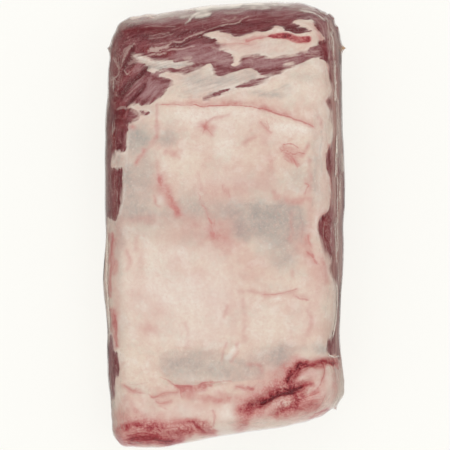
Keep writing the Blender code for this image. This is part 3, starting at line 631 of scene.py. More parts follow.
WHITE_STREAKS_AND_HIGHLIGHTS = [  # white streaks and painted highlights: line, half width, strength
    ([(236, 347), (232, 353), (227, 360)], 2.0, 1.0),
    ([(129, 130), (127, 150), (124.5, 175), (121, 214)], 1.3, 0.6),
    ([(320, 140), (321, 170), (319, 205), (316, 226)], 1.2, 0.35),
    ([(326, 122), (324, 140), (323, 160)], 1.0, 0.3),
    # a painted highlight along the fat's edge at the right
    ([(337.5, 284), (337.6, 300), (336, 318), (332, 334), (328, 348)], 0.9, 0.7),
    ([(288, 361.5), (298, 358.5), (310, 359.5), (322, 359.5), (334, 356)], 0.9, 0.55),
    ([(164, 83.5), (176, 82), (190, 78), (204, 76)], 0.7, 0.3),
    ([(182, 88), (196, 85), (212, 80), (228, 79)], 0.7, 0.35),
    ([(196, 92), (214, 88), (232, 86), (246, 80)], 0.7, 0.35),
    ([(214, 98), (232, 93), (248, 88), (262, 84)], 0.7, 0.3),
    ([(262, 80), (276, 75), (292, 69), (306, 62)], 0.9, 0.45),
    ([(300, 104), (303, 114), (301, 124)], 1.0, 0.3), ([(318, 100), (320, 112), (318, 124)], 1.0, 0.25),
    # painted highlights on the fat island at the upper left: the second stroke here and the first below
    ([(212, 37), (226, 38), (240, 40)], 0.8, 0.5), ([(134, 55), (140, 57), (148, 60)], 1.3, 0.8),
    ([(152, 63), (166, 63), (182, 63.5)], 1.0, 0.6), ([(126, 436.5), (136, 435.5), (146, 437)], 0.8, 0.5),
    ([(240, 50), (256, 51), (270, 53), (286, 51)], 0.8, 0.4),
]
GREY_STREAKS_AND_SHADE = [  # grey streaks and painted shade: line, half width, strength
    # painted shade on the fat island at the upper left
    ([(148, 67), (160, 68), (172, 66.5), (184, 65.5)], 1.6, 0.75),
    ([(176, 86), (192, 82.5), (208, 79), (224, 77.5)], 0.6, 0.4),
    ([(186, 91), (204, 86), (220, 83), (238, 80)], 0.6, 0.4),
    ([(206, 95), (222, 90.5), (238, 87), (252, 83)], 0.6, 0.4),
    ([(178, 97), (190, 97.5), (202, 96)], 0.6, 0.35),
    ([(258, 97), (268, 93), (280, 88), (290, 84)], 0.7, 0.4),
    ([(322, 130), (321, 150), (322, 172)], 0.7, 0.35), ([(314, 150), (315, 180), (313, 206)], 0.7, 0.25),
    ([(288, 214), (287, 228), (288, 240)], 0.8, 0.35), ([(302, 212), (303, 230), (301, 244)], 0.8, 0.3),
    ([(259, 204), (258, 216), (259, 228)], 1.2, 0.45),
    ([(236, 204.5), (258, 204), (282, 206), (304, 210)], 1.0, 0.4),
    ([(232, 360), (246, 364), (262, 372)], 1.4, 0.25), ([(118, 170), (117, 162), (121, 152)], 1.0, 0.35),
]
GRANULES = [  # clotted grains: middle, half sizes, strength
    ((282, 386), (12, 8), 0.3), ((270, 395), (12, 6), 0.15), ((292, 376), (7, 10), 0.2),
    ((306, 365), (14, 5), 0.25), ((254, 404), (12, 6), 0.25), ((284, 406), (12, 8), 0.6),
    ((300, 396), (14, 10), 0.4), ((332, 366), (8, 8), 0.5), ((150, 428), (34, 8), 0.3),
    ((200, 424), (14, 8), 0.4), ((282, 352), (10, 12), 0.3), ((284, 160), (14, 14), 0.2),
    ((322, 235), (5, 22), 0.6), ((290, 38), (22, 6), 0.2), ((329, 165), (4, 40), 0.5),
    ((116, 150), (10, 60), 0.6), ((210, 196), (14, 14), 0.2),
]
CLEFTS = [  # line, half width in pixels, depth in metres
    ([(160, 104), (175, 103.5), (190, 106), (230, 104.5), (250, 104.5), (270, 111), (292, 116),
    (312, 125)], 1.2, 0.0007),
    ([(252, 405.5), (258, 403.6), (266, 401), (276, 394.5), (289, 391.8), (300, 387)], 1.9, 0.0021),
    ([(292, 388), (291, 381), (296, 371), (301, 365.5), (316, 363), (336, 360)], 2.4, 0.0013),
    ([(291, 392), (294, 399), (292, 407)], 1.8, 0.0012),
    ([(324, 364), (326.5, 372), (324, 380), (320, 386)], 1.3, 0.0007),
    ([(330, 392), (326, 402), (318, 410)], 1.4, 0.0008),
    ([(160, 375), (168, 380), (178, 384), (200, 384), (228, 382)], 1.5, 0.001),
    ([(168, 379), (175, 386), (182, 390), (183, 395)], 1.2, 0.0008),
    ([(126, 387), (133, 391), (146, 393)], 1.2, 0.0008),
    ([(152, 396), (160, 396), (168, 392), (178, 391)], 1.2, 0.0009),
    ([(191, 420), (198, 426), (206, 433)], 1.4, 0.0006),
    ([(148, 66), (140, 74), (128, 86), (119, 94)], 1.8, 0.0014),
    ([(145, 84), (138, 93), (127, 105), (121, 113)], 1.8, 0.0012),
    ([(133, 49), (131, 55), (128, 61)], 1.6, 0.0009),
]
LEAN_GROOVES = 3  # the last of them lie in the lean

# Stains stray further than the edge of the fat does.
strayed = seen + stray(meat_points, 1.3, 0.006, 5) + stray(meat_points, 0.7, 0.0028, 9)
strayed_little = 0.6 * seen + 0.4 * strayed
blood = painted(strayed, lines=STAINS, spots=FLUSHES)
# grey where the fat is thinner, and painted shade on the fat island at the upper left
thin_fat_and_shade = painted(strayed, lines=GREY_STREAKS_AND_SHADE, spots=THIN_FAT_AND_SHADE)
for pane, softness, strength in RED_PANES:
    within = strength * step(depth_inside(seen, pane), -softness, softness)
    blood = blood + within * (1 - np.minimum(blood, 1))
for pane, softness, strength in GREY_PANES:
    within = strength * step(depth_inside(strayed, pane), -softness, softness)
    thin_fat_and_shade = thin_fat_and_shade + within * (1 - np.minimum(thin_fat_and_shade, 1))
# The lowest grey window ends crisply along a fold.
LOW_WINDOW = [(150, 340), (300, 330), (300, 372), (228, 381.5), (200, 384), (178, 384), (168, 379),
              (160, 375), (156, 366)]
near_its_edge = spot(seen, (200, 384), (60, 14)) > 0.25
thin_fat_and_shade = thin_fat_and_shade * np.where(near_its_edge, step(depth_inside(seen, LOW_WINDOW), -1.5, 0.5), 1)
# the white where fat is thicker, and small painted glints
thick_fat_and_glints = painted(strayed, lines=WHITE_STREAKS_AND_HIGHLIGHTS, spots=THICK_FAT_AND_GLINTS)
cleft = np.zeros(len(seen))
for line, half_width, depth in CLEFTS:
    cleft = np.maximum(cleft, stroke(seen, line, half_width, depth))

LEAN_TONES = [  # dark red above nought, pale purple below: middle, half sizes, strength
    ((112, 130), (12, 30), 0.4), ((114, 190), (8, 30), 0.22), ((186, 30), (50, 7), 0.3),
    ((140, 36), (24, 9), 0.3), ((246, 26), (34, 5), 0.25), ((125, 88), (8, 22), 0.2),
    ((322, 230), (6, 12), 0.22), ((117, 114), (10, 12), 0.12), ((200, 53), (26, 7), -0.3),
    ((180, 55), (14, 5), -0.2), ((270, 63), (50, 5), -0.48), ((154, 90), (14, 12), -0.4),
    ((224, 58), (20, 8), -0.24), ((236, 14), (34, 4), -0.18), ((300, 14), (36, 6), -0.06),
    ((262, 14), (20, 4), 0.1), ((112, 372), (6, 34), 0.16), ((334, 346), (6, 14), -0.12),
    ((132, 76), (9, 8), -0.12), ((138, 68), (5, 4), -0.32), ((134, 114), (6, 6), -0.1),
    ((114, 80), (7, 34), 0.2), ((122, 60), (8, 10), 0.22), ((122, 103), (6, 5), -0.2),
    ((106, 170), (5, 60), 0.25), ((106, 100), (5, 40), 0.3), ((140, 74), (10, 6), 0.1),
    ((280, 27), (16, 3), 0.2), ((326, 30), (9, 24), -0.22), ((308, 50), (14, 4), -0.3),
    ((326, 240), (8, 14), -0.1), ((335, 240), (5, 40), -0.25), ((336, 120), (5, 60), -0.3),
    ((170, 22), (40, 3), -0.2),
]
LEAN_STREAKS = [  # dark red above nought, pale below: line, half width, strength
    ([(121, 30), (132, 28.5), (146, 29), (162, 30)], 1.6, 0.3),
    ([(127, 25.5), (133, 25), (139, 26)], 1.2, 0.35), ([(143, 31), (134, 36), (124, 42)], 1.4, 0.25),
    ([(148, 33), (141, 40), (137, 46)], 1.2, 0.2), ([(150, 41), (158, 41.5), (168, 41)], 1.8, 0.35),
    ([(165, 38), (176, 36.5), (186, 31)], 1.5, 0.3), ([(134, 34), (129, 39), (124, 44)], 1.0, -0.2),
    ([(140, 43), (142, 48), (144, 52)], 1.0, 0.25), ([(132.5, 46), (131.5, 51), (130, 57)], 1.6, 0.8),
    ([(137, 47), (142, 50)], 1.2, 0.4), ([(143, 47), (148, 48), (152, 47)], 1.4, 0.6),
    ([(142, 52), (145, 55)], 1.2, 0.6), ([(148, 53), (156, 52.5), (162, 51)], 1.2, 0.55),
    ([(152, 57), (160, 56.5), (169, 55.5)], 1.3, 0.6), ([(150, 59), (160, 59), (172, 59)], 0.8, 0.55),
    ([(165, 54), (170, 52), (175, 52)], 1.6, 0.5),
    ([(171, 46), (180, 43.5), (191, 40.5), (200, 36)], 2.2, 0.6),
    ([(200, 36), (206, 37), (213, 39.5)], 1.8, 0.55), ([(204, 42), (210, 42.5), (218, 43)], 1.0, 0.45),
    ([(172, 47.5), (180, 46), (190, 45)], 1.0, 0.35),
    ([(216, 29), (226, 27), (237, 23), (246, 20)], 2.0, 0.4),
    ([(232, 31), (246, 31), (258, 29)], 2.4, 0.4), ([(238, 34), (244, 35.5), (250, 33.5)], 1.2, 0.5),
    ([(250, 24), (262, 22), (272, 21)], 2.2, 0.25), ([(262, 30), (268, 28), (274, 25)], 1.2, 0.35),
    ([(282, 27), (292, 28), (304, 29)], 2.6, 0.6), ([(295, 24), (303, 27), (309, 30)], 1.4, 0.4),
    ([(294, 15), (302, 15.5), (312, 17)], 1.4, 0.35), ([(315.5, 22), (319, 30), (325, 38)], 1.5, 0.75),
    ([(318, 44), (322, 44), (326, 42)], 2.2, 0.75), ([(324, 49), (327, 55), (330, 61)], 2.0, 0.6),
    ([(321, 50), (322, 54)], 1.2, 0.4), ([(330, 62), (331.5, 72), (332, 84)], 1.8, 0.55),
    ([(328, 100), (332, 105), (334, 112)], 2.4, 0.5), ([(335.5, 100), (336, 118), (334, 138)], 1.0, 0.4),
    ([(331, 143), (330, 158), (332, 174)], 2.0, 0.45),
    ([(332, 178), (332, 190), (332.5, 204)], 1.0, 0.45), ([(331, 206), (330, 213), (322, 217)], 1.4, 0.5),
    ([(321, 219), (327, 217), (332, 222), (336, 223)], 1.8, 0.4),
    ([(326, 236), (329, 244), (331, 252)], 2.6, 0.45), ([(333, 254), (333.5, 262), (332, 269)], 1.3, 0.7),
    ([(329, 268), (330.5, 272)], 1.0, 0.8), ([(334, 270), (336, 278), (338, 284)], 0.9, 0.3),
    ([(320, 236), (322, 243), (323, 250)], 1.6, -0.35), ([(337, 330), (334, 338), (331, 347)], 1.2, 0.3),
    ([(329.5, 344), (329, 350), (331, 353)], 1.0, 0.3), ([(111, 44), (114, 49), (113, 54)], 2.0, 0.2),
    ([(117, 61), (118.5, 66), (118, 71)], 1.0, 0.5), ([(128, 57), (126, 61), (124, 65)], 1.4, 0.6),
    ([(136, 61), (132, 65), (129, 68)], 1.8, 0.85), ([(124, 65), (123, 71), (123, 77)], 1.6, 0.5),
    ([(129, 78), (126, 84), (122, 90)], 2.2, 0.45), ([(118, 93), (116, 97), (114, 101)], 1.4, 0.5),
    ([(113, 88), (112, 96)], 1.6, 0.2), ([(119.5, 109), (118, 114), (115, 119)], 1.1, 0.7),
    ([(116, 110), (114, 116), (112, 121)], 1.0, 0.55), ([(130, 110), (128, 116), (125, 121)], 1.4, 0.45),
    ([(127, 112), (124, 118)], 1.2, -0.2), ([(112, 124), (114, 129), (112, 136), (110, 142)], 2.2, 0.5),
    ([(118, 118), (125, 121), (129, 123)], 2.6, 0.45), ([(121, 128), (121, 138), (119, 148)], 1.6, 0.3),
    ([(120, 145), (117, 150), (114, 156)], 1.2, 0.4), ([(110, 168), (117, 171), (122, 174)], 1.6, 0.25),
    ([(119, 178), (118, 192), (117, 206)], 2.0, 0.25), ([(109, 208), (111, 214), (110, 220)], 1.4, 0.55),
    ([(117, 216), (113, 219)], 1.2, 0.5), ([(117.5, 354), (118.5, 362), (118, 370)], 1.2, 0.55),
    ([(112, 350), (114, 360), (113, 372)], 1.6, 0.25), ([(138, 80), (134, 85), (129, 90)], 1.6, -0.3),
    ([(134, 93), (130, 97), (125, 101)], 1.2, -0.22), ([(118, 101), (122, 104), (124, 101)], 2.2, -0.1),
    ([(150, 76), (160, 79), (168, 82)], 1.6, 0.25), ([(144, 84), (150, 80), (156, 78)], 1.2, 0.2),
    ([(138, 101), (146, 101), (152, 97)], 1.8, 0.25), ([(218, 66), (226, 68.5), (236, 69)], 1.4, 0.35),
    ([(241, 57.5), (243, 60), (242, 64)], 1.2, 0.4), ([(262, 71), (272, 70), (282, 69)], 1.2, 0.35),
    ([(228, 54), (232, 57), (231, 62)], 1.4, 0.3),
]
LEAN_TONE = 0.50
tone = np.full(len(seen), LEAN_TONE)
for middle, half_sizes, strength in LEAN_TONES:
    tone = tone + spot(strayed, middle, half_sizes, strength)
for line, half_width, strength in LEAN_STREAKS:
    tone = tone + stroke(seen, line, half_width, strength)
# painted shade: the lean is drawn darker along the grooves carved into it
for line, half_width, depth in CLEFTS[-LEAN_GROOVES:]:
    tone = tone + stroke(seen, line, half_width * 1.1, 0.8)
upper = step(meat_points[:, 2], 0.030, 0.050)
keep(meat.data, "blood", blood * upper + (1 - upper) * (0.10 + 0.12 * lumps(meat_points, 0.02, 11)))
keep_lines(meat.data, "vein", strayed_little, VEINS)
keep(meat.data, "thin_fat_and_shade", thin_fat_and_shade * upper)
keep(meat.data, "thick_fat_and_glints", thick_fat_and_glints * upper + (1 - upper) * 0.2)
keep(meat.data, "tone", tone)
DEEPEST = 0.003  # the depth of a cleft that counts as 1
keep(meat.data, "cleft", cleft / DEEPEST)
keep(meat.data, "grains", painted(strayed, spots=GRANULES))
SOFT_EDGES = [  # where the fat thins out over the lean: middle, half sizes, strength
    ((334, 92), (6, 14), 1.0), ((332, 125), (5, 26), 0.5), ((326, 246), (6, 16), 0.7),
    ((332, 268), (6, 14), 0.9), ((222, 46), (8, 4), 0.8), ((262, 57), (30, 3), 0.4),
    ((190, 72), (26, 4), 0.3), ((240, 70), (24, 4), 0.2), ((290, 66), (16, 4), 0.2),
    ((142, 58), (12, 6), 0.6), ((256, 83), (20, 6), 0.1), ((170, 84), (8, 6), 0.5),
    ((132, 116), (10, 8), 1.0), ((116, 392), (5, 12), 0.6), ((120, 200), (4, 20), 0.4),
    ((206, 34), (6, 4), 0.5), ((330, 330), (6, 14), 0.4),
]
soft_here_and_there = 0.5 * step(lumps(meat_points, 0.013, 51), 0.1, 0.7)
keep(meat.data, "soft", painted(seen, spots=SOFT_EDGES) + soft_here_and_there)

# The muscle runs lengthwise down both long edges, and slants at the far left corner.
x, y = seen.T
nearer = step(y, 96, 116)
left_edge = step(-x, -132, -122) * nearer
right_edge = np.maximum(step(x, 318, 326), step(x, 296, 322) * nearer)
keep(meat.data, "lengthwise", np.maximum(left_edge, right_edge))
keep(meat.data, "slanting", step(-x, -166, -150) * step(y, 56, 70) * step(-y, -122, -108))
# Painted light: the long walls are drawn paler than the top, standing in for the light that falls on them,
# but for the red lean at the left and in three patches on the right.
red_left = step(-x, -200, -180) * np.maximum(step(-y, -226, -212), step(y, 326, 340))
red_right = sum(spot(seen, *patch) for patch in (
    ((333, 232), (8, 26)), ((329.5, 157), (3, 20), 0.5), ((333, 50), (8, 40), 0.5)))
lit_wall_mask = step(np.abs(meat_outwards[:, 0]), 0.60, 0.90) * (1 - 0.8 * np.maximum(red_left, red_right))
keep(meat.data, "wall", lit_wall_mask)

FIBRES = [  # where the fat shows its fibres: middle, half sizes, strength
    ((222, 83), (46, 11), 0.9), ((164, 66), (32, 9), 0.9), ((264, 48), (42, 8), 0.5),
    ((300, 66), (20, 6), 0.5),
]
COARSE = [  # where the lean is speckled: middle, half sizes, strength
    ((112, 78), (13, 52), 1.0), ((113, 180), (8, 50), 1.0), ((112, 368), (6, 36), 1.0),
    ((334, 60), (8, 50), 0.8), ((332, 150), (6, 50), 0.8), ((328, 238), (8, 30), 1.0),
    ((150, 34), (40, 10), 0.4),
]
keep(meat.data, "fibres", painted(seen, spots=FIBRES))
keep(meat.data, "coarse", painted(seen, spots=COARSE))
keep(meat.data, "cut_end", end_wall)

# The meat's own relief lies under the film: the fat stands above the lean, and its lobes are soft lumps.
UNDER_FILM = 0.00035
FAT_EDGE_STEP = 0.0005
LOBE_HEIGHT = 0.00022
on_lean = step(-fat, -0.5, 1.0)
lobes = lumps(meat_points, 0.0075, 21) + 0.6 * lumps(meat_points, 0.0036, 22)
sunk = UNDER_FILM + FAT_EDGE_STEP * on_lean + cleft + LOBE_HEIGHT * (1 + lobes / 1.6) * (1 - 0.5 * on_lean)
meat_points = meat_points - meat_outwards * sunk[:, None]
meat.data.vertices.foreach_set("co", meat_points.ravel())
meat.data.update()

# ---------------------------------------------------------------- the meat: its surface
# Fat is cream, soft and a little waxy. Lean is dark red to purple, with a grain along the muscle. Their fine
# colour comes from patterns of the right size, under the places that were drawn above.


def node(tree, kind, inputs=None, **settings):
    """A node with its settings, and with its inputs set to values or linked from other nodes' outputs."""
    made = tree.nodes.new(kind)
    for name, value in settings.items():
        setattr(made, name, value)
    for name, value in (inputs or {}).items():
        if isinstance(value, bpy.types.NodeSocket):
            tree.links.new(value, made.inputs[name])
        else:
            made.inputs[name].default_value = value
    return made


def stored(tree, name):
    """The number that keep() stored on each vertex."""
    return node(tree, "ShaderNodeAttribute", attribute_name=name).outputs["Fac"]


def noise(where, scale, detail=2.0, roughness=0.5, distortion=0.0):
    """An uneven pattern between 0 and 1, finer as the scale rises."""
    return node(where.id_data, "ShaderNodeTexNoise", {
        "Vector": where, "Scale": scale, "Detail": detail, "Roughness": roughness,
        "Distortion": distortion}).outputs["Fac"]


def ramp(value, low, high, out_low=0.0, out_high=1.0):
    """A smooth rise from out_low to out_high as the value goes from low to high."""
    made = node(value.id_data, "ShaderNodeMapRange", interpolation_type="SMOOTHSTEP", inputs={
        "Value": value, "From Min": low, "From Max": high, "To Min": out_low, "To Max": out_high})
    return made.outputs["Result"]


def even_ramp(value, low, high):
    """A straight rise from 0 to 1 as the value goes from low to high, which may be sockets."""
    return node(value.id_data, "ShaderNodeMapRange",
                {"Value": value, "From Min": low, "From Max": high}).outputs["Result"]


def joined(operation, first, second=0.0):
    """A new number made from a socket and a second socket or number."""
    return node(first.id_data, "ShaderNodeMath", {0: first, 1: second}, operation=operation).outputs[0]


def times(first, second):
    """One number multiplied by the other."""
    return joined("MULTIPLY", first, second)


def plus(first, second):
    """One number added to the other."""
    return joined("ADD", first, second)


def most(first, second):
    """The greater of two numbers."""
    return joined("MAXIMUM", first, second)


def off(value, middle):
    """How far the value is from the middle, either way."""
    return joined("ABSOLUTE", joined("SUBTRACT", value, middle))


def blend(share, first, second):
    """One colour over another."""
    made = node(share.id_data, "ShaderNodeMix", {0: share, 6: first, 7: second}, data_type="RGBA")
    return made.outputs[2]


def stretched(where, scales, degrees=0.0):
    """The place, turned anticlockwise about the vertical and then with its axes scaled."""
    return node(where.id_data, "ShaderNodeMapping", vector_type="TEXTURE", inputs={
        "Vector": where, "Scale": tuple(1 / scale for scale in scales),
        "Rotation": (0, 0, math.radians(degrees))}).outputs["Vector"]


def crisp_line(tree, name, looseness):
    """How much of a stored line covers each place. Its sides are frayed, and it is broken here and there."""
    frays = times(ramp(plus(patchy, fine), 0.7, 1.3, -1.0, 1.0), looseness)
    away = plus(off(stored(tree, f"{name}_side"), 0.0), frays)
    return times(ramp(away, 1.35, 0.45), stored(tree, f"{name}_strength"))


def paint(red, green, blue):
    """A colour as a shader takes it, from the 0 to 255 values that a screen shows."""
    return tuple(((c / 255 + 0.055) / 1.055) ** 2.4 for c in (red, green, blue)) + (1.0,)


CREAM_FAT = paint(233, 216, 199)
PINK_FAT = paint(224, 194, 179)
# grey fat, also the colour of the painted shade on the fat island at the upper left
GREY_FAT_AND_SHADE = paint(172, 165, 158)
COOL_FAT = paint(214, 208, 192)
# white fat, also the colour of the painted glints and highlights
WHITE_FAT_AND_HIGHLIGHTS = paint(242, 233, 222)
PALE_BLOOD = paint(208, 147, 139)
RED_BLOOD = paint(174, 68, 72)
# clotted blood, also the colour of the painted shade in the clefts
DARK_BLOOD_AND_SHADE = paint(110, 22, 30)
DARK_LEAN = paint(104, 32, 38)
RED_LEAN = paint(138, 72, 75)
PALE_LEAN = paint(174, 132, 131)
LEAN_BLOOD = paint(148, 44, 48)
SILVERSKIN = paint(212, 186, 174)
# the paler colour that stands in for the light on the long walls: painted light
LIT_WALL_LEAN = paint(200, 160, 148)
THIN_VEIL = paint(196, 166, 160)

meat_material = bpy.data.materials.new("meat")
meat_material.use_nodes = True
tree = meat_material.node_tree
shader = tree.nodes["Principled BSDF"]
where = node(tree, "ShaderNodeTexCoord").outputs["Object"]

broad = noise(where, 40, 3)
patchy = noise(where, 150, 3, 0.6)
fine = noise(where, 620, 2)
grainy = noise(where, 1150, 1)

# fat: cream with faint pink clouds, white or grey where thicker or thinner, with painted glints, highlights
# and shade
mottle = plus(broad, times(patchy, 0.5))
fat_colour = blend(ramp(mottle, 0.58, 0.95), CREAM_FAT, PINK_FAT)
fat_colour = blend(ramp(noise(where, 62, 3, 0.55), 0.50, 0.68, 0.0, 0.38), fat_colour, COOL_FAT)
clouds = noise(where, 82, 3, 0.55)
fat_colour = blend(ramp(clouds, 0.51, 0.66, 0.0, 0.45), fat_colour, WHITE_FAT_AND_HIGHLIGHTS)
fat_colour = blend(ramp(clouds, 0.48, 0.34, 0.0, 0.45), fat_colour, PINK_FAT)
fat_colour = blend(stored(tree, "thick_fat_and_glints"), fat_colour, WHITE_FAT_AND_HIGHLIGHTS)
thin_fat_and_shade_share = times(stored(tree, "thin_fat_and_shade"), ramp(patchy, 0.25, 0.75, 0.8, 1.1))
fat_colour = blend(thin_fat_and_shade_share, fat_colour, GREY_FAT_AND_SHADE)
lobes = node(tree, "ShaderNodeTexVoronoi", {"Vector": where, "Scale": 330.0, "Smoothness": 0.6},
             feature="SMOOTH_F1").outputs["Distance"]
fat_colour = blend(ramp(lobes, 0.25, 0.75, 0.0, 0.22), fat_colour, PINK_FAT)
veins = off(noise(where, 75, 4, 0.6, 0.6), 0.5)
vein_share = times(ramp(veins, 0.012, 0.0), ramp(noise(where, 28, 2), 0.5, 0.7, 0.0, 0.22))
fat_colour = blend(vein_share, fat_colour, PALE_BLOOD)
fat_colour = blend(ramp(fine, 0.54, 0.78, 0.0, 0.38), fat_colour, WHITE_FAT_AND_HIGHLIGHTS)
fat_colour = blend(ramp(fine, 0.46, 0.22, 0.0, 0.60), fat_colour, PINK_FAT)

fibre_grain = noise(stretched(where, (46, 640, 300), 17), 1.0, 4, 0.55)
pale_fibres = times(stored(tree, "fibres"), ramp(fibre_grain, 0.50, 0.68, 0.0, 0.50))
fat_colour = blend(pale_fibres, fat_colour, WHITE_FAT_AND_HIGHLIGHTS)
grey_fibres = times(stored(tree, "fibres"), ramp(fibre_grain, 0.48, 0.34, 0.0, 0.34))
fat_colour = blend(grey_fibres, fat_colour, GREY_FAT_AND_SHADE)

# blood on the fat, cloudy, and in grains where it has clotted
unevenness = ramp(plus(patchy, times(fine, 0.8)), 0.65, 1.15, -0.60, 0.55)
unevenness = times(unevenness, ramp(stored(tree, "grains"), 0.0, 0.5, 0.5, 1.0))
cloudy = plus(unevenness, 1.0)
clots = times(stored(tree, "grains"), ramp(grainy, 0.32, 0.68, -0.48, 0.42))
blood_share = plus(times(stored(tree, "blood"), cloudy), clots)
blood_share = plus(blood_share, crisp_line(tree, "vein", 0.8))
fat_colour = blend(even_ramp(blood_share, 0.0, 0.5), fat_colour, PALE_BLOOD)
fat_colour = blend(even_ramp(blood_share, 0.5, 1.0), fat_colour, RED_BLOOD)
fat_colour = blend(even_ramp(blood_share, 1.0, 1.5), fat_colour, DARK_BLOOD_AND_SHADE)

# lean: the grain of the muscle, dark red to pale, with pale flecks
across_grain = noise(stretched(where, (50, 420, 300), 13), 1.0, 5, 0.62)
slant_grain = noise(stretched(where, (60, 400, 300), 46), 1.0, 5, 0.62)
long_grain = noise(stretched(where, (460, 55, 160), 2), 1.0, 5, 0.62)
grain = blend(stored(tree, "slanting"), across_grain, slant_grain)
grain = blend(stored(tree, "lengthwise"), grain, long_grain)
grain = blend(stored(tree, "cut_end"), grain, patchy)
dark_share = plus(stored(tree, "tone"), ramp(grain, 0.3, 0.7, 0.26, -0.26))
dark_share = plus(dark_share, ramp(fine, 0.25, 0.75, 0.12, -0.12))
specks = times(ramp(grainy, 0.30, 0.70, 0.30, -0.30), stored(tree, "coarse"))
dark_share = plus(dark_share, specks)
lean_colour = blend(even_ramp(dark_share, 0.0, 0.55), PALE_LEAN, RED_LEAN)
lean_colour = blend(even_ramp(dark_share, 0.55, 1.1), lean_colour, DARK_LEAN)
red_share = times(times(stored(tree, "blood"), cloudy), ramp(grain, 0.3, 0.7, 1.0, 0.5))
lean_colour = blend(red_share, lean_colour, LEAN_BLOOD)
crackle = noise(stretched(where, (520, 240, 380), 10), 1.0, 3, 0.7, 0.8)
crackle_share = times(ramp(off(crackle, 0.5), 0.040, 0.0, 0.0, 0.55), ramp(patchy, 0.42, 0.58))
crackle_share = times(crackle_share, stored(tree, "coarse"))
lean_colour = blend(crackle_share, lean_colour, SILVERSKIN)
flecks = times(ramp(grainy, 0.60, 0.72, 0.0, 0.5), ramp(patchy, 0.42, 0.62))
lean_colour = blend(flecks, lean_colour, SILVERSKIN)
streaks = ramp(grain, 0.61, 0.70, 0.0, 0.5)
lean_colour = blend(times(streaks, ramp(patchy, 0.4, 0.6)), lean_colour, SILVERSKIN)
marbling = ramp(off(noise(where, 120, 4, 0.6, 1.2), 0.5), 0.05, 0.0)
marbling = times(marbling, ramp(broad, 0.40, 0.60, 0.1, 0.85))
lean_colour = blend(times(marbling, stored(tree, "cut_end")), lean_colour, SILVERSKIN)
# painted light on the long walls: paler, in level lines
height_lines = noise(stretched(where, (16, 16, 170)), 1.0, 4, 0.6)
lit_wall_share = times(stored(tree, "wall"), ramp(height_lines, 0.36, 0.60, 0.1, 0.9))
lean_colour = blend(lit_wall_share, lean_colour, LIT_WALL_LEAN)

# the edge of the fat frays along the grain
frayed = plus(ramp(grain, 0.3, 0.7, -1.1, 1.1), ramp(fine, 0.2, 0.8, -0.4, 0.4))
EDGE_BLUR = 0.35  # millimetres
SOFT_EDGE_BLUR = 3.0
blur = ramp(stored(tree, "soft"), 0.0, 1.0, EDGE_BLUR, SOFT_EDGE_BLUR)
fat_share = even_ramp(plus(stored(tree, "fat"), frayed), times(blur, -1.0), blur)
pale_rim = times(ramp(stored(tree, "fat"), 0.4, 1.4), ramp(stored(tree, "fat"), 4.0, 1.6, 0.0, 0.4))
pale_rim = times(pale_rim, ramp(patchy, 0.42, 0.62))
fat_colour = blend(pale_rim, fat_colour, WHITE_FAT_AND_HIGHLIGHTS)
veil = times(ramp(stored(tree, "fat"), -3.2, -0.2, 0.0, 0.75), ramp(grain, 0.44, 0.60))
lean_colour = blend(veil, lean_colour, THIN_VEIL)
colour = blend(fat_share, lean_colour, fat_colour)

colour = blend(crisp_line(tree, "thread", 0.9), colour, SILVERSKIN)
# painted shade: the deeper a cleft, the darker its colour, over the blood that lies in it
colour = blend(ramp(stored(tree, "cleft"), 0.25, 1.0, 0.0, 0.35), colour, DARK_BLOOD_AND_SHADE)

surface_height = plus(times(times(lobes, fat_share), 0.3), plus(times(grain, 0.5), times(fine, 0.35)))
bumps = node(tree, "ShaderNodeBump", {"Height": surface_height, "Strength": 0.4, "Distance": 0.0012})
tree.links.new(colour, shader.inputs["Base Color"])
tree.links.new(bumps.outputs["Normal"], shader.inputs["Normal"])
tree.links.new(ramp(fat_share, 0.0, 1.0, 0.42, 0.50), shader.inputs["Roughness"])
shader.inputs["Specular IOR Level"].default_value = 0.2
meat.data.materials.append(meat_material)
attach(meat, "root")
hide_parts("roast")

# ---------------------------------------------------------------- the film
# Clear shrink film about a tenth of a millimetre in thickness, one bag drawn tight by the vacuum. It bridges
# the small steps of the meat, wrinkles where it is gathered over the ends and turns milky where it lies
# double. A sheen, glints on its creases and folds and a dark reflection along its long edges are painted into
# its colour.
FILM_CELL = 0.0019
film = skin("film", FILM_CELL)
film_points = points_of(film.data)
film_outwards = outwards_of(film.data)
film_seen = seen_at(film_points) + wall_stray(film_points, film_outwards)

far_end = step(film_points[:, 1], 0.150, 0.185)
near_end = step(-film_points[:, 1], 0.150, 0.190)
side_wall = step(np.abs(film_outwards[:, 0]), 0.45, 0.85)
rim = step(-film_outwards[:, 2], -0.92, -0.45)
# Wrinkles run lengthwise on the long walls and up and over the ends.
wander = 3.0 * lumps(film_points, 0.06, 31)
lengthwise = np.sin(film_points[:, 2] / 0.0042 * math.pi + wander * 2) * lumps(film_points, 0.03, 32)
crosswise = np.sin(film_points[:, 0] / 0.0065 * math.pi + wander * 2) * lumps(film_points, 0.025, 33)
wrinkles = lengthwise * side_wall + 0.5 * crosswise * np.maximum(far_end, near_end) * (1 - side_wall)
FILM_WRINKLE = 0.0003
film_points = film_points + film_outwards * (FILM_WRINKLE * (wrinkles * rim))[:, None]
film_points[:, 2] = np.maximum(film_points[:, 2], 0)
film.data.vertices.foreach_set("co", film_points.ravel())
film.data.update()

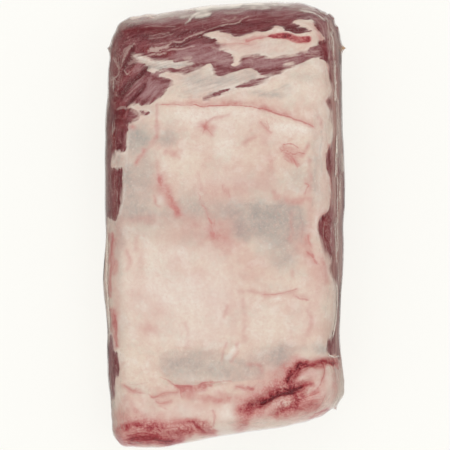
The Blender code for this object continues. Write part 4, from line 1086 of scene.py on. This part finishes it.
MILKY_AND_SHEEN = [  # doubled or gathered film, and painted sheen at the far end and long edges: line, half width, strength
    # the far end: painted sheen where the film turns away over the rim
    ([(122, 21), (132, 17.5), (145, 15.5), (165, 13)], 5.0, 0.26),
    ([(128, 22), (146, 21), (164, 20)], 2.4, 0.2), ([(160, 14), (178, 12), (196, 8), (210, 6)], 4.6, 0.3),
    ([(176, 17), (186, 16), (200, 14), (208, 12)], 2.4, 0.36),
    ([(186, 22), (187, 18), (193, 15), (201, 13)], 0.9, 0.5),
    ([(196, 16.5), (202, 16), (208, 14.5)], 2.0, 0.65), ([(200, 8), (225, 6), (240, 4.6)], 3.6, 0.74),
    ([(232, 4.2), (246, 3.6), (258, 3.4)], 2.5, 0.6), ([(250, 3.4), (262, 3.3), (272, 3.4)], 2.2, 0.34),
    ([(262, 3.3), (276, 3.5), (290, 4)], 2.0, 0.26), ([(246, 8), (256, 7.6), (264, 7.7)], 1.6, 0.3),
    ([(258, 7.6), (268, 7.7), (280, 8.2)], 1.5, 0.24), ([(280, 3.5), (296, 5), (310, 9)], 1.6, 0.22),
    ([(182, 24), (186, 20), (190, 17.5)], 0.8, 0.45), ([(228, 13), (250, 9.5), (262, 8)], 1.3, 0.25),
    ([(270, 5), (286, 5.5), (302, 9)], 1.4, 0.25),
    # the long edges: painted sheen along the film's sides
    ([(107, 56), (110, 42), (115, 30), (122, 23)], 2.8, 0.22),
    ([(108, 62), (107.5, 80), (106.5, 110), (105.5, 140)], 2.4, 0.16),
    ([(105.5, 140), (106, 180), (107, 214)], 2.4, 0.18),
    ([(107.5, 236), (107.5, 262), (106.5, 282), (108, 300), (109.5, 330)], 0.9, 0.26),
    ([(332, 26), (335, 34), (337, 44), (338, 56)], 1.8, 0.12),
    ([(340, 60), (341, 90), (340.5, 130), (343, 170)], 1.3, 0.15),
    ([(336.5, 100), (337.5, 150), (337, 176)], 0.8, 0.26),
    ([(334, 176), (335, 200), (335.5, 232), (337, 262)], 0.8, 0.16),
    ([(339.5, 180), (341, 210), (340, 250), (340.5, 284)], 1.2, 0.14),
    ([(340.5, 300), (340, 330), (341, 352)], 0.9, 0.16),
    ([(332, 411), (338, 404), (343, 397)], 3.0, 0.75), ([(338, 370), (341, 384), (341, 396)], 4.5, 0.58),
    ([(300, 418), (316, 412), (328, 405)], 1.6, 0.25),
    ([(338.5, 120), (339.5, 150), (341, 172)], 2.0, 0.28),
]
FOLD_HIGHLIGHTS = [  # painted highlights, each a narrow pale line along a fold: line, half width, strength
    ([(334.8, 62), (335.2, 78), (336, 100)], 1.0, 0.5), ([(336, 82), (336, 88)], 0.7, 0.9),
    ([(335, 92), (335, 100)], 0.6, 0.7), ([(338, 100), (338.3, 128), (338, 156)], 0.5, 0.45),
    ([(336.7, 137), (336.6, 152)], 0.5, 0.95), ([(335.5, 155), (336, 166), (335.5, 175)], 0.5, 0.7),
    ([(337.5, 178), (337.5, 206), (338, 250)], 0.5, 0.5),
    ([(342, 155), (343, 164), (342.5, 171)], 1.1, 0.45), ([(340, 176), (340, 200)], 0.5, 0.5),
    ([(335, 222), (336, 240), (336.5, 262)], 0.5, 0.45),
    ([(337, 285), (337.3, 304), (336, 320), (333, 336)], 0.6, 0.8),
    ([(338, 262), (338.5, 280)], 0.5, 0.3), ([(330, 355.5), (334, 357), (338, 356)], 0.8, 0.7),
    ([(107.3, 236), (107, 262), (106.5, 283)], 0.7, 0.7),
    ([(107, 286), (108.3, 304), (109.5, 326)], 0.7, 0.7),
    ([(105.5, 60), (104.5, 90), (103.8, 120)], 0.5, 0.3),
    ([(300, 10), (310, 12), (318, 15), (324, 20)], 0.6, 0.6),
    ([(303, 8), (314, 10), (325, 14)], 0.5, 0.5), ([(226, 9), (250, 6.5), (272, 5.5)], 0.7, 0.5),
    ([(331, 33), (333, 40), (334, 56)], 0.6, 0.5), ([(326, 18), (330, 24), (333, 33)], 0.5, 0.4),
    ([(327, 20), (329, 34), (330, 48)], 0.5, 0.3), ([(113, 34), (110, 46), (108.5, 60)], 0.6, 0.35),
    ([(150, 19), (168, 17), (186, 14)], 0.6, 0.4),
]
DARK_EDGE_REFLECTIONS = [  # painted dark reflection, a dark line where the film's edge turns away: line, half width, strength
    ([(329, 12), (334, 18), (338, 28), (339.5, 40)], 0.6, 0.5),
    ([(340, 46), (341.5, 60), (342.2, 75), (342.5, 100)], 1.1, 0.85),
    ([(341.6, 100), (342, 130), (342.6, 148)], 1.1, 0.75),
    ([(343, 172), (344, 186), (343.4, 204)], 0.9, 0.9),
    ([(343, 206), (342.4, 225), (342.2, 260)], 1.0, 0.75),
    ([(341.6, 262), (340.5, 290), (339.8, 320)], 1.0, 0.75), ([(337, 84), (337, 100)], 0.5, 0.6),
    ([(336.5, 174), (336.5, 190)], 0.5, 0.5), ([(339.5, 60), (340, 80), (339.6, 98)], 0.5, 0.4),
    ([(340.3, 325), (341, 345)], 0.6, 0.4), ([(341, 362), (343, 380), (345, 398)], 0.4, 0.25),
    ([(336, 409.5), (328, 413.5), (318, 416.4), (300, 420.4)], 0.5, 0.4),
    ([(300, 420.4), (280, 425.4), (260, 429.4), (240, 432.6), (226, 434.6)], 0.4, 0.3),
    ([(104.4, 225), (103.4, 250), (103.3, 283)], 1.2, 1.0),
    ([(104.3, 285), (105.8, 300), (106.5, 312)], 1.2, 0.9),
    ([(106.8, 312), (107.2, 332), (107.3, 348)], 1.1, 0.85),
    ([(107, 350), (107.5, 372), (109, 395)], 0.6, 0.6),
    ([(106, 60), (105, 90), (104, 120), (102.8, 150)], 0.8, 0.6),
    ([(102.8, 152), (103, 190), (104.3, 222)], 0.8, 0.65),
    ([(109.5, 396), (111, 405), (111, 425), (115, 438)], 0.5, 0.45),
]
CRUMPLE_GLINTS = [  # creased in all directions, with painted glints on the creases: middle, half sizes, strength
    ((114, 64), (7, 16), 1.0), ((112, 96), (5, 24), 0.5), ((334, 40), (6, 16), 0.7),
    ((126, 30), (10, 8), 0.5), ((330, 405), (8, 8), 0.6),
]
AMBER_ENDS = [  # gathered and stained: middle, half sizes, strength
    ((344, 45), (3.4, 4.5), 1.0), ((107, 49), (2.2, 4), 0.7), ((337, 25), (2, 3), 0.5),
    ((131, 15), (1.5, 0.8), 0.5), ((136, 15.5), (1.2, 0.8), 0.5), ((141, 15), (1.2, 0.7), 0.4),
]

film_height = film_points[:, 2] + 0.009 * lumps(film_points * [0.4, 0.4, 1], 0.012, 49)


def spread_of(places, lines, spots=()):
    """The soft strokes, which end below the roast's widest height, where the eye no longer sees the film."""
    return painted(places, lines=lines, spots=spots) * step(film_height, 0.033, 0.045)


MILKY_AND_SHEEN_WANDER = 8.0  # in pixels, so that a patch which reaches down a wall has no straight sides
along_wall = np.column_stack([np.maximum(far_end, near_end) * (1 - side_wall), side_wall])
milky_and_sheen_seen = film_seen + (MILKY_AND_SHEEN_WANDER * lumps(film_points, 0.011, 51))[:, None] * along_wall
keep(film.data, "milky_and_sheen", spread_of(milky_and_sheen_seen, MILKY_AND_SHEEN))
keep(film.data, "amber", spread_of(film_seen, [], AMBER_ENDS))
keep(film.data, "rim", rim)
keep(film.data, "in_sight", step(film_height, 0.030, 0.044))
keep(film.data, "at_edge", step(film_height, 0.034, 0.040) * step(-film_height, -0.059, -0.049))
keep(film.data, "crumple_glints", painted(film_seen, spots=CRUMPLE_GLINTS))
keep_lines(film.data, "fold", film_seen, FOLD_HIGHLIGHTS)
keep_lines(film.data, "dark_edge", film_seen, DARK_EDGE_REFLECTIONS)

# milky where the film lies double; the same pale colour is its painted sheen, highlights and glints
MILKY_FILM_AND_HIGHLIGHTS = paint(238, 226, 212)
# painted dark reflection along the film's long edges
DARK_REFLECTION_FILM = paint(104, 78, 71)
AMBER_FILM = paint(190, 138, 84)
film_material = bpy.data.materials.new("clear film")
film_material.use_nodes = True
tree = film_material.node_tree
tree.nodes.remove(tree.nodes["Principled BSDF"])
place = node(tree, "ShaderNodeTexCoord").outputs["Object"]
patchy = noise(place, 150, 3, 0.6)
fine = noise(place, 620, 2)

# folds run lengthwise on the broad face and level round the rim
face_folds = noise(stretched(place, (260, 26, 150), 3), 1.0, 4, 0.55, 0.4)
rim_folds = noise(stretched(place, (14, 14, 190)), 1.0, 4, 0.6, 0.2)
fine_folds = noise(stretched(place, (9, 9, 560)), 1.0, 3, 0.5)
folds = blend(stored(tree, "rim"), face_folds, rim_folds)
fold_bump = node(tree, "ShaderNodeBump", {"Height": folds, "Strength": 0.5, "Distance": 0.0012})
fold_bump = fold_bump.outputs["Normal"]
# painted glints: pale lines along the rim's folds and on the crumpled creases
rim_glint_lines = times(ramp(off(rim_folds, 0.52), 0.022, 0.0), stored(tree, "rim"))
cells = node(tree, "ShaderNodeTexVoronoi", {"Vector": stretched(place, (330, 190, 240), 20), "Scale": 1.0},
             feature="DISTANCE_TO_EDGE").outputs["Distance"]
crumple_glint_lines = times(ramp(cells, 0.09, 0.01), stored(tree, "crumple_glints"))
crease_glints = times(most(rim_glint_lines, crumple_glint_lines), ramp(noise(place, 60, 2), 0.42, 0.62, 0.0, 0.5))

# what the film hides: milky or painted sheen, painted glints and highlights, painted dark reflection at edges
level_lines = plus(ramp(rim_folds, 0.36, 0.64, -0.25, 0.20), ramp(fine_folds, 0.40, 0.60, -0.12, 0.10))
unevenness = blend(stored(tree, "rim"), ramp(face_folds, 0.3, 0.7, -0.35, 0.25), level_lines)
milky_and_sheen_share = times(stored(tree, "milky_and_sheen"), plus(unevenness, 1.0))
# painted highlights along the folds
fold_highlight_share = times(crisp_line(tree, "fold", 0.7), stored(tree, "in_sight"))
# painted dark reflection along the long edges
dark_edge_share = times(crisp_line(tree, "dark_edge", 0.7), stored(tree, "at_edge"))
dark_edge_share = times(dark_edge_share, ramp(rim_folds, 0.38, 0.54, 0.55, 1.1))
pale_share = most(most(milky_and_sheen_share, crease_glints), fold_highlight_share)
cover = most(most(pale_share, dark_edge_share), stored(tree, "amber"))
film_colour = blend(stored(tree, "amber"), blend(dark_edge_share, MILKY_FILM_AND_HIGHLIGHTS, DARK_REFLECTION_FILM), AMBER_FILM)
clear = node(tree, "ShaderNodeBsdfTransparent")
milky_film_and_painted_light = node(tree, "ShaderNodeBsdfDiffuse", {"Color": film_colour, "Normal": fold_bump})
body = node(tree, "ShaderNodeMixShader", {0: cover, 1: clear.outputs[0], 2: milky_film_and_painted_light.outputs[0]})
mirror = node(tree, "ShaderNodeBsdfGlossy", {"Color": (1, 1, 1, 1), "Roughness": 0.16, "Normal": fold_bump})
slant = node(tree, "ShaderNodeFresnel", {"IOR": 1.40, "Normal": fold_bump})
whole = node(tree, "ShaderNodeMixShader", {0: times(slant.outputs[0], 0.5), 1: body.outputs[0],
                                           2: mirror.outputs[0]})
tree.links.new(whole.outputs[0], tree.nodes["Material Output"].inputs["Surface"])
film.data.materials.append(film_material)
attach(film, "root")
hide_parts("roast")

# ---------------------------------------------------------------- the table and the light
# The roast lies on a plain pale table, seen from straight above in even white light with almost no shadow.
TABLE_SIZE = 4.0
TABLE_DROP = 0.0003
bpy.ops.mesh.primitive_plane_add(size=TABLE_SIZE, location=(0, 0, -TABLE_DROP))
table = bpy.context.object
table.name = "table"
table.visible_glossy = False
table_material = bpy.data.materials.new("pale table")
table_material.use_nodes = True
table_shader = table_material.node_tree.nodes["Principled BSDF"]
table_shader.inputs["Base Color"].default_value = paint(120, 120, 118)
table_shader.inputs["Roughness"].default_value = 0.8
table_shader.inputs["Specular IOR Level"].default_value = 0.0
table_shader.inputs["Emission Color"].default_value = paint(252, 251, 246)
table_shader.inputs["Emission Strength"].default_value = 0.825
table.data.materials.append(table_material)

LAMP_HEIGHT = 1.7
LAMP_SIZE = 1.8
LAMP_POWER = 8.8
for name, x, y in (("left", -1.3, 0), ("right", 1.3, 0), ("near", 0, -1.3), ("far", 0, 1.3)):
    lamp = bpy.data.objects.new(f"lamp_{name}", bpy.data.lights.new(f"lamp_{name}", "AREA"))
    lamp.data.shape = "SQUARE"
    lamp.data.size = LAMP_SIZE
    lamp.data.energy = LAMP_POWER
    lamp.location = (x, y, LAMP_HEIGHT)
    lamp.rotation_euler = (-Vector(lamp.location)).to_track_quat("-Z", "Y").to_euler()
    bpy.context.scene.collection.objects.link(lamp)

# The room is bright above and dim low down, so the film's long sides mirror something dark. Past both ends
# it is bright low down too.
world = bpy.data.worlds.new("studio")
world.use_nodes = True
sky = world.node_tree
facing = node(sky, "ShaderNodeTexCoord").outputs["Generated"]
across_room, along_room, up = node(sky, "ShaderNodeSeparateXYZ", {"Vector": facing}).outputs
strength = ramp(up, -0.1, 0.5, 0.31, 0.50)
sideways = off(across_room, 0.0)
past_far_end = plus(along_room, times(sideways, -1.5))
past_near_end = plus(times(along_room, -1.0), times(sideways, -0.8))
end_glow = plus(ramp(past_far_end, 0.0, 0.35, 0.0, 1.2), ramp(past_near_end, -0.2, 0.3, 0.0, 0.95))
low_glow = times(end_glow, ramp(up, 0.15, -0.05))
sky.links.new(plus(strength, low_glow), sky.nodes["Background"].inputs["Strength"])
sky.nodes["Background"].inputs["Color"].default_value = (1, 1, 1, 1)
bpy.context.scene.world = world
bpy.context.scene.view_settings.view_transform = "Standard"

SENSOR = 36.0
camera = bpy.data.objects.new("camera", bpy.data.cameras.new("camera"))
camera.data.sensor_width = SENSOR
camera.data.lens = SENSOR * (EYE_HEIGHT - WIDEST_HEIGHT) / (PICTURE_WIDTH * PIXEL)
picture_middle = (PICTURE_WIDTH / 2 - MIDDLE_PIXEL) * [PIXEL, -PIXEL]
camera.location = (*picture_middle, EYE_HEIGHT)
bpy.context.scene.collection.objects.link(camera)
bpy.context.scene.camera = camera
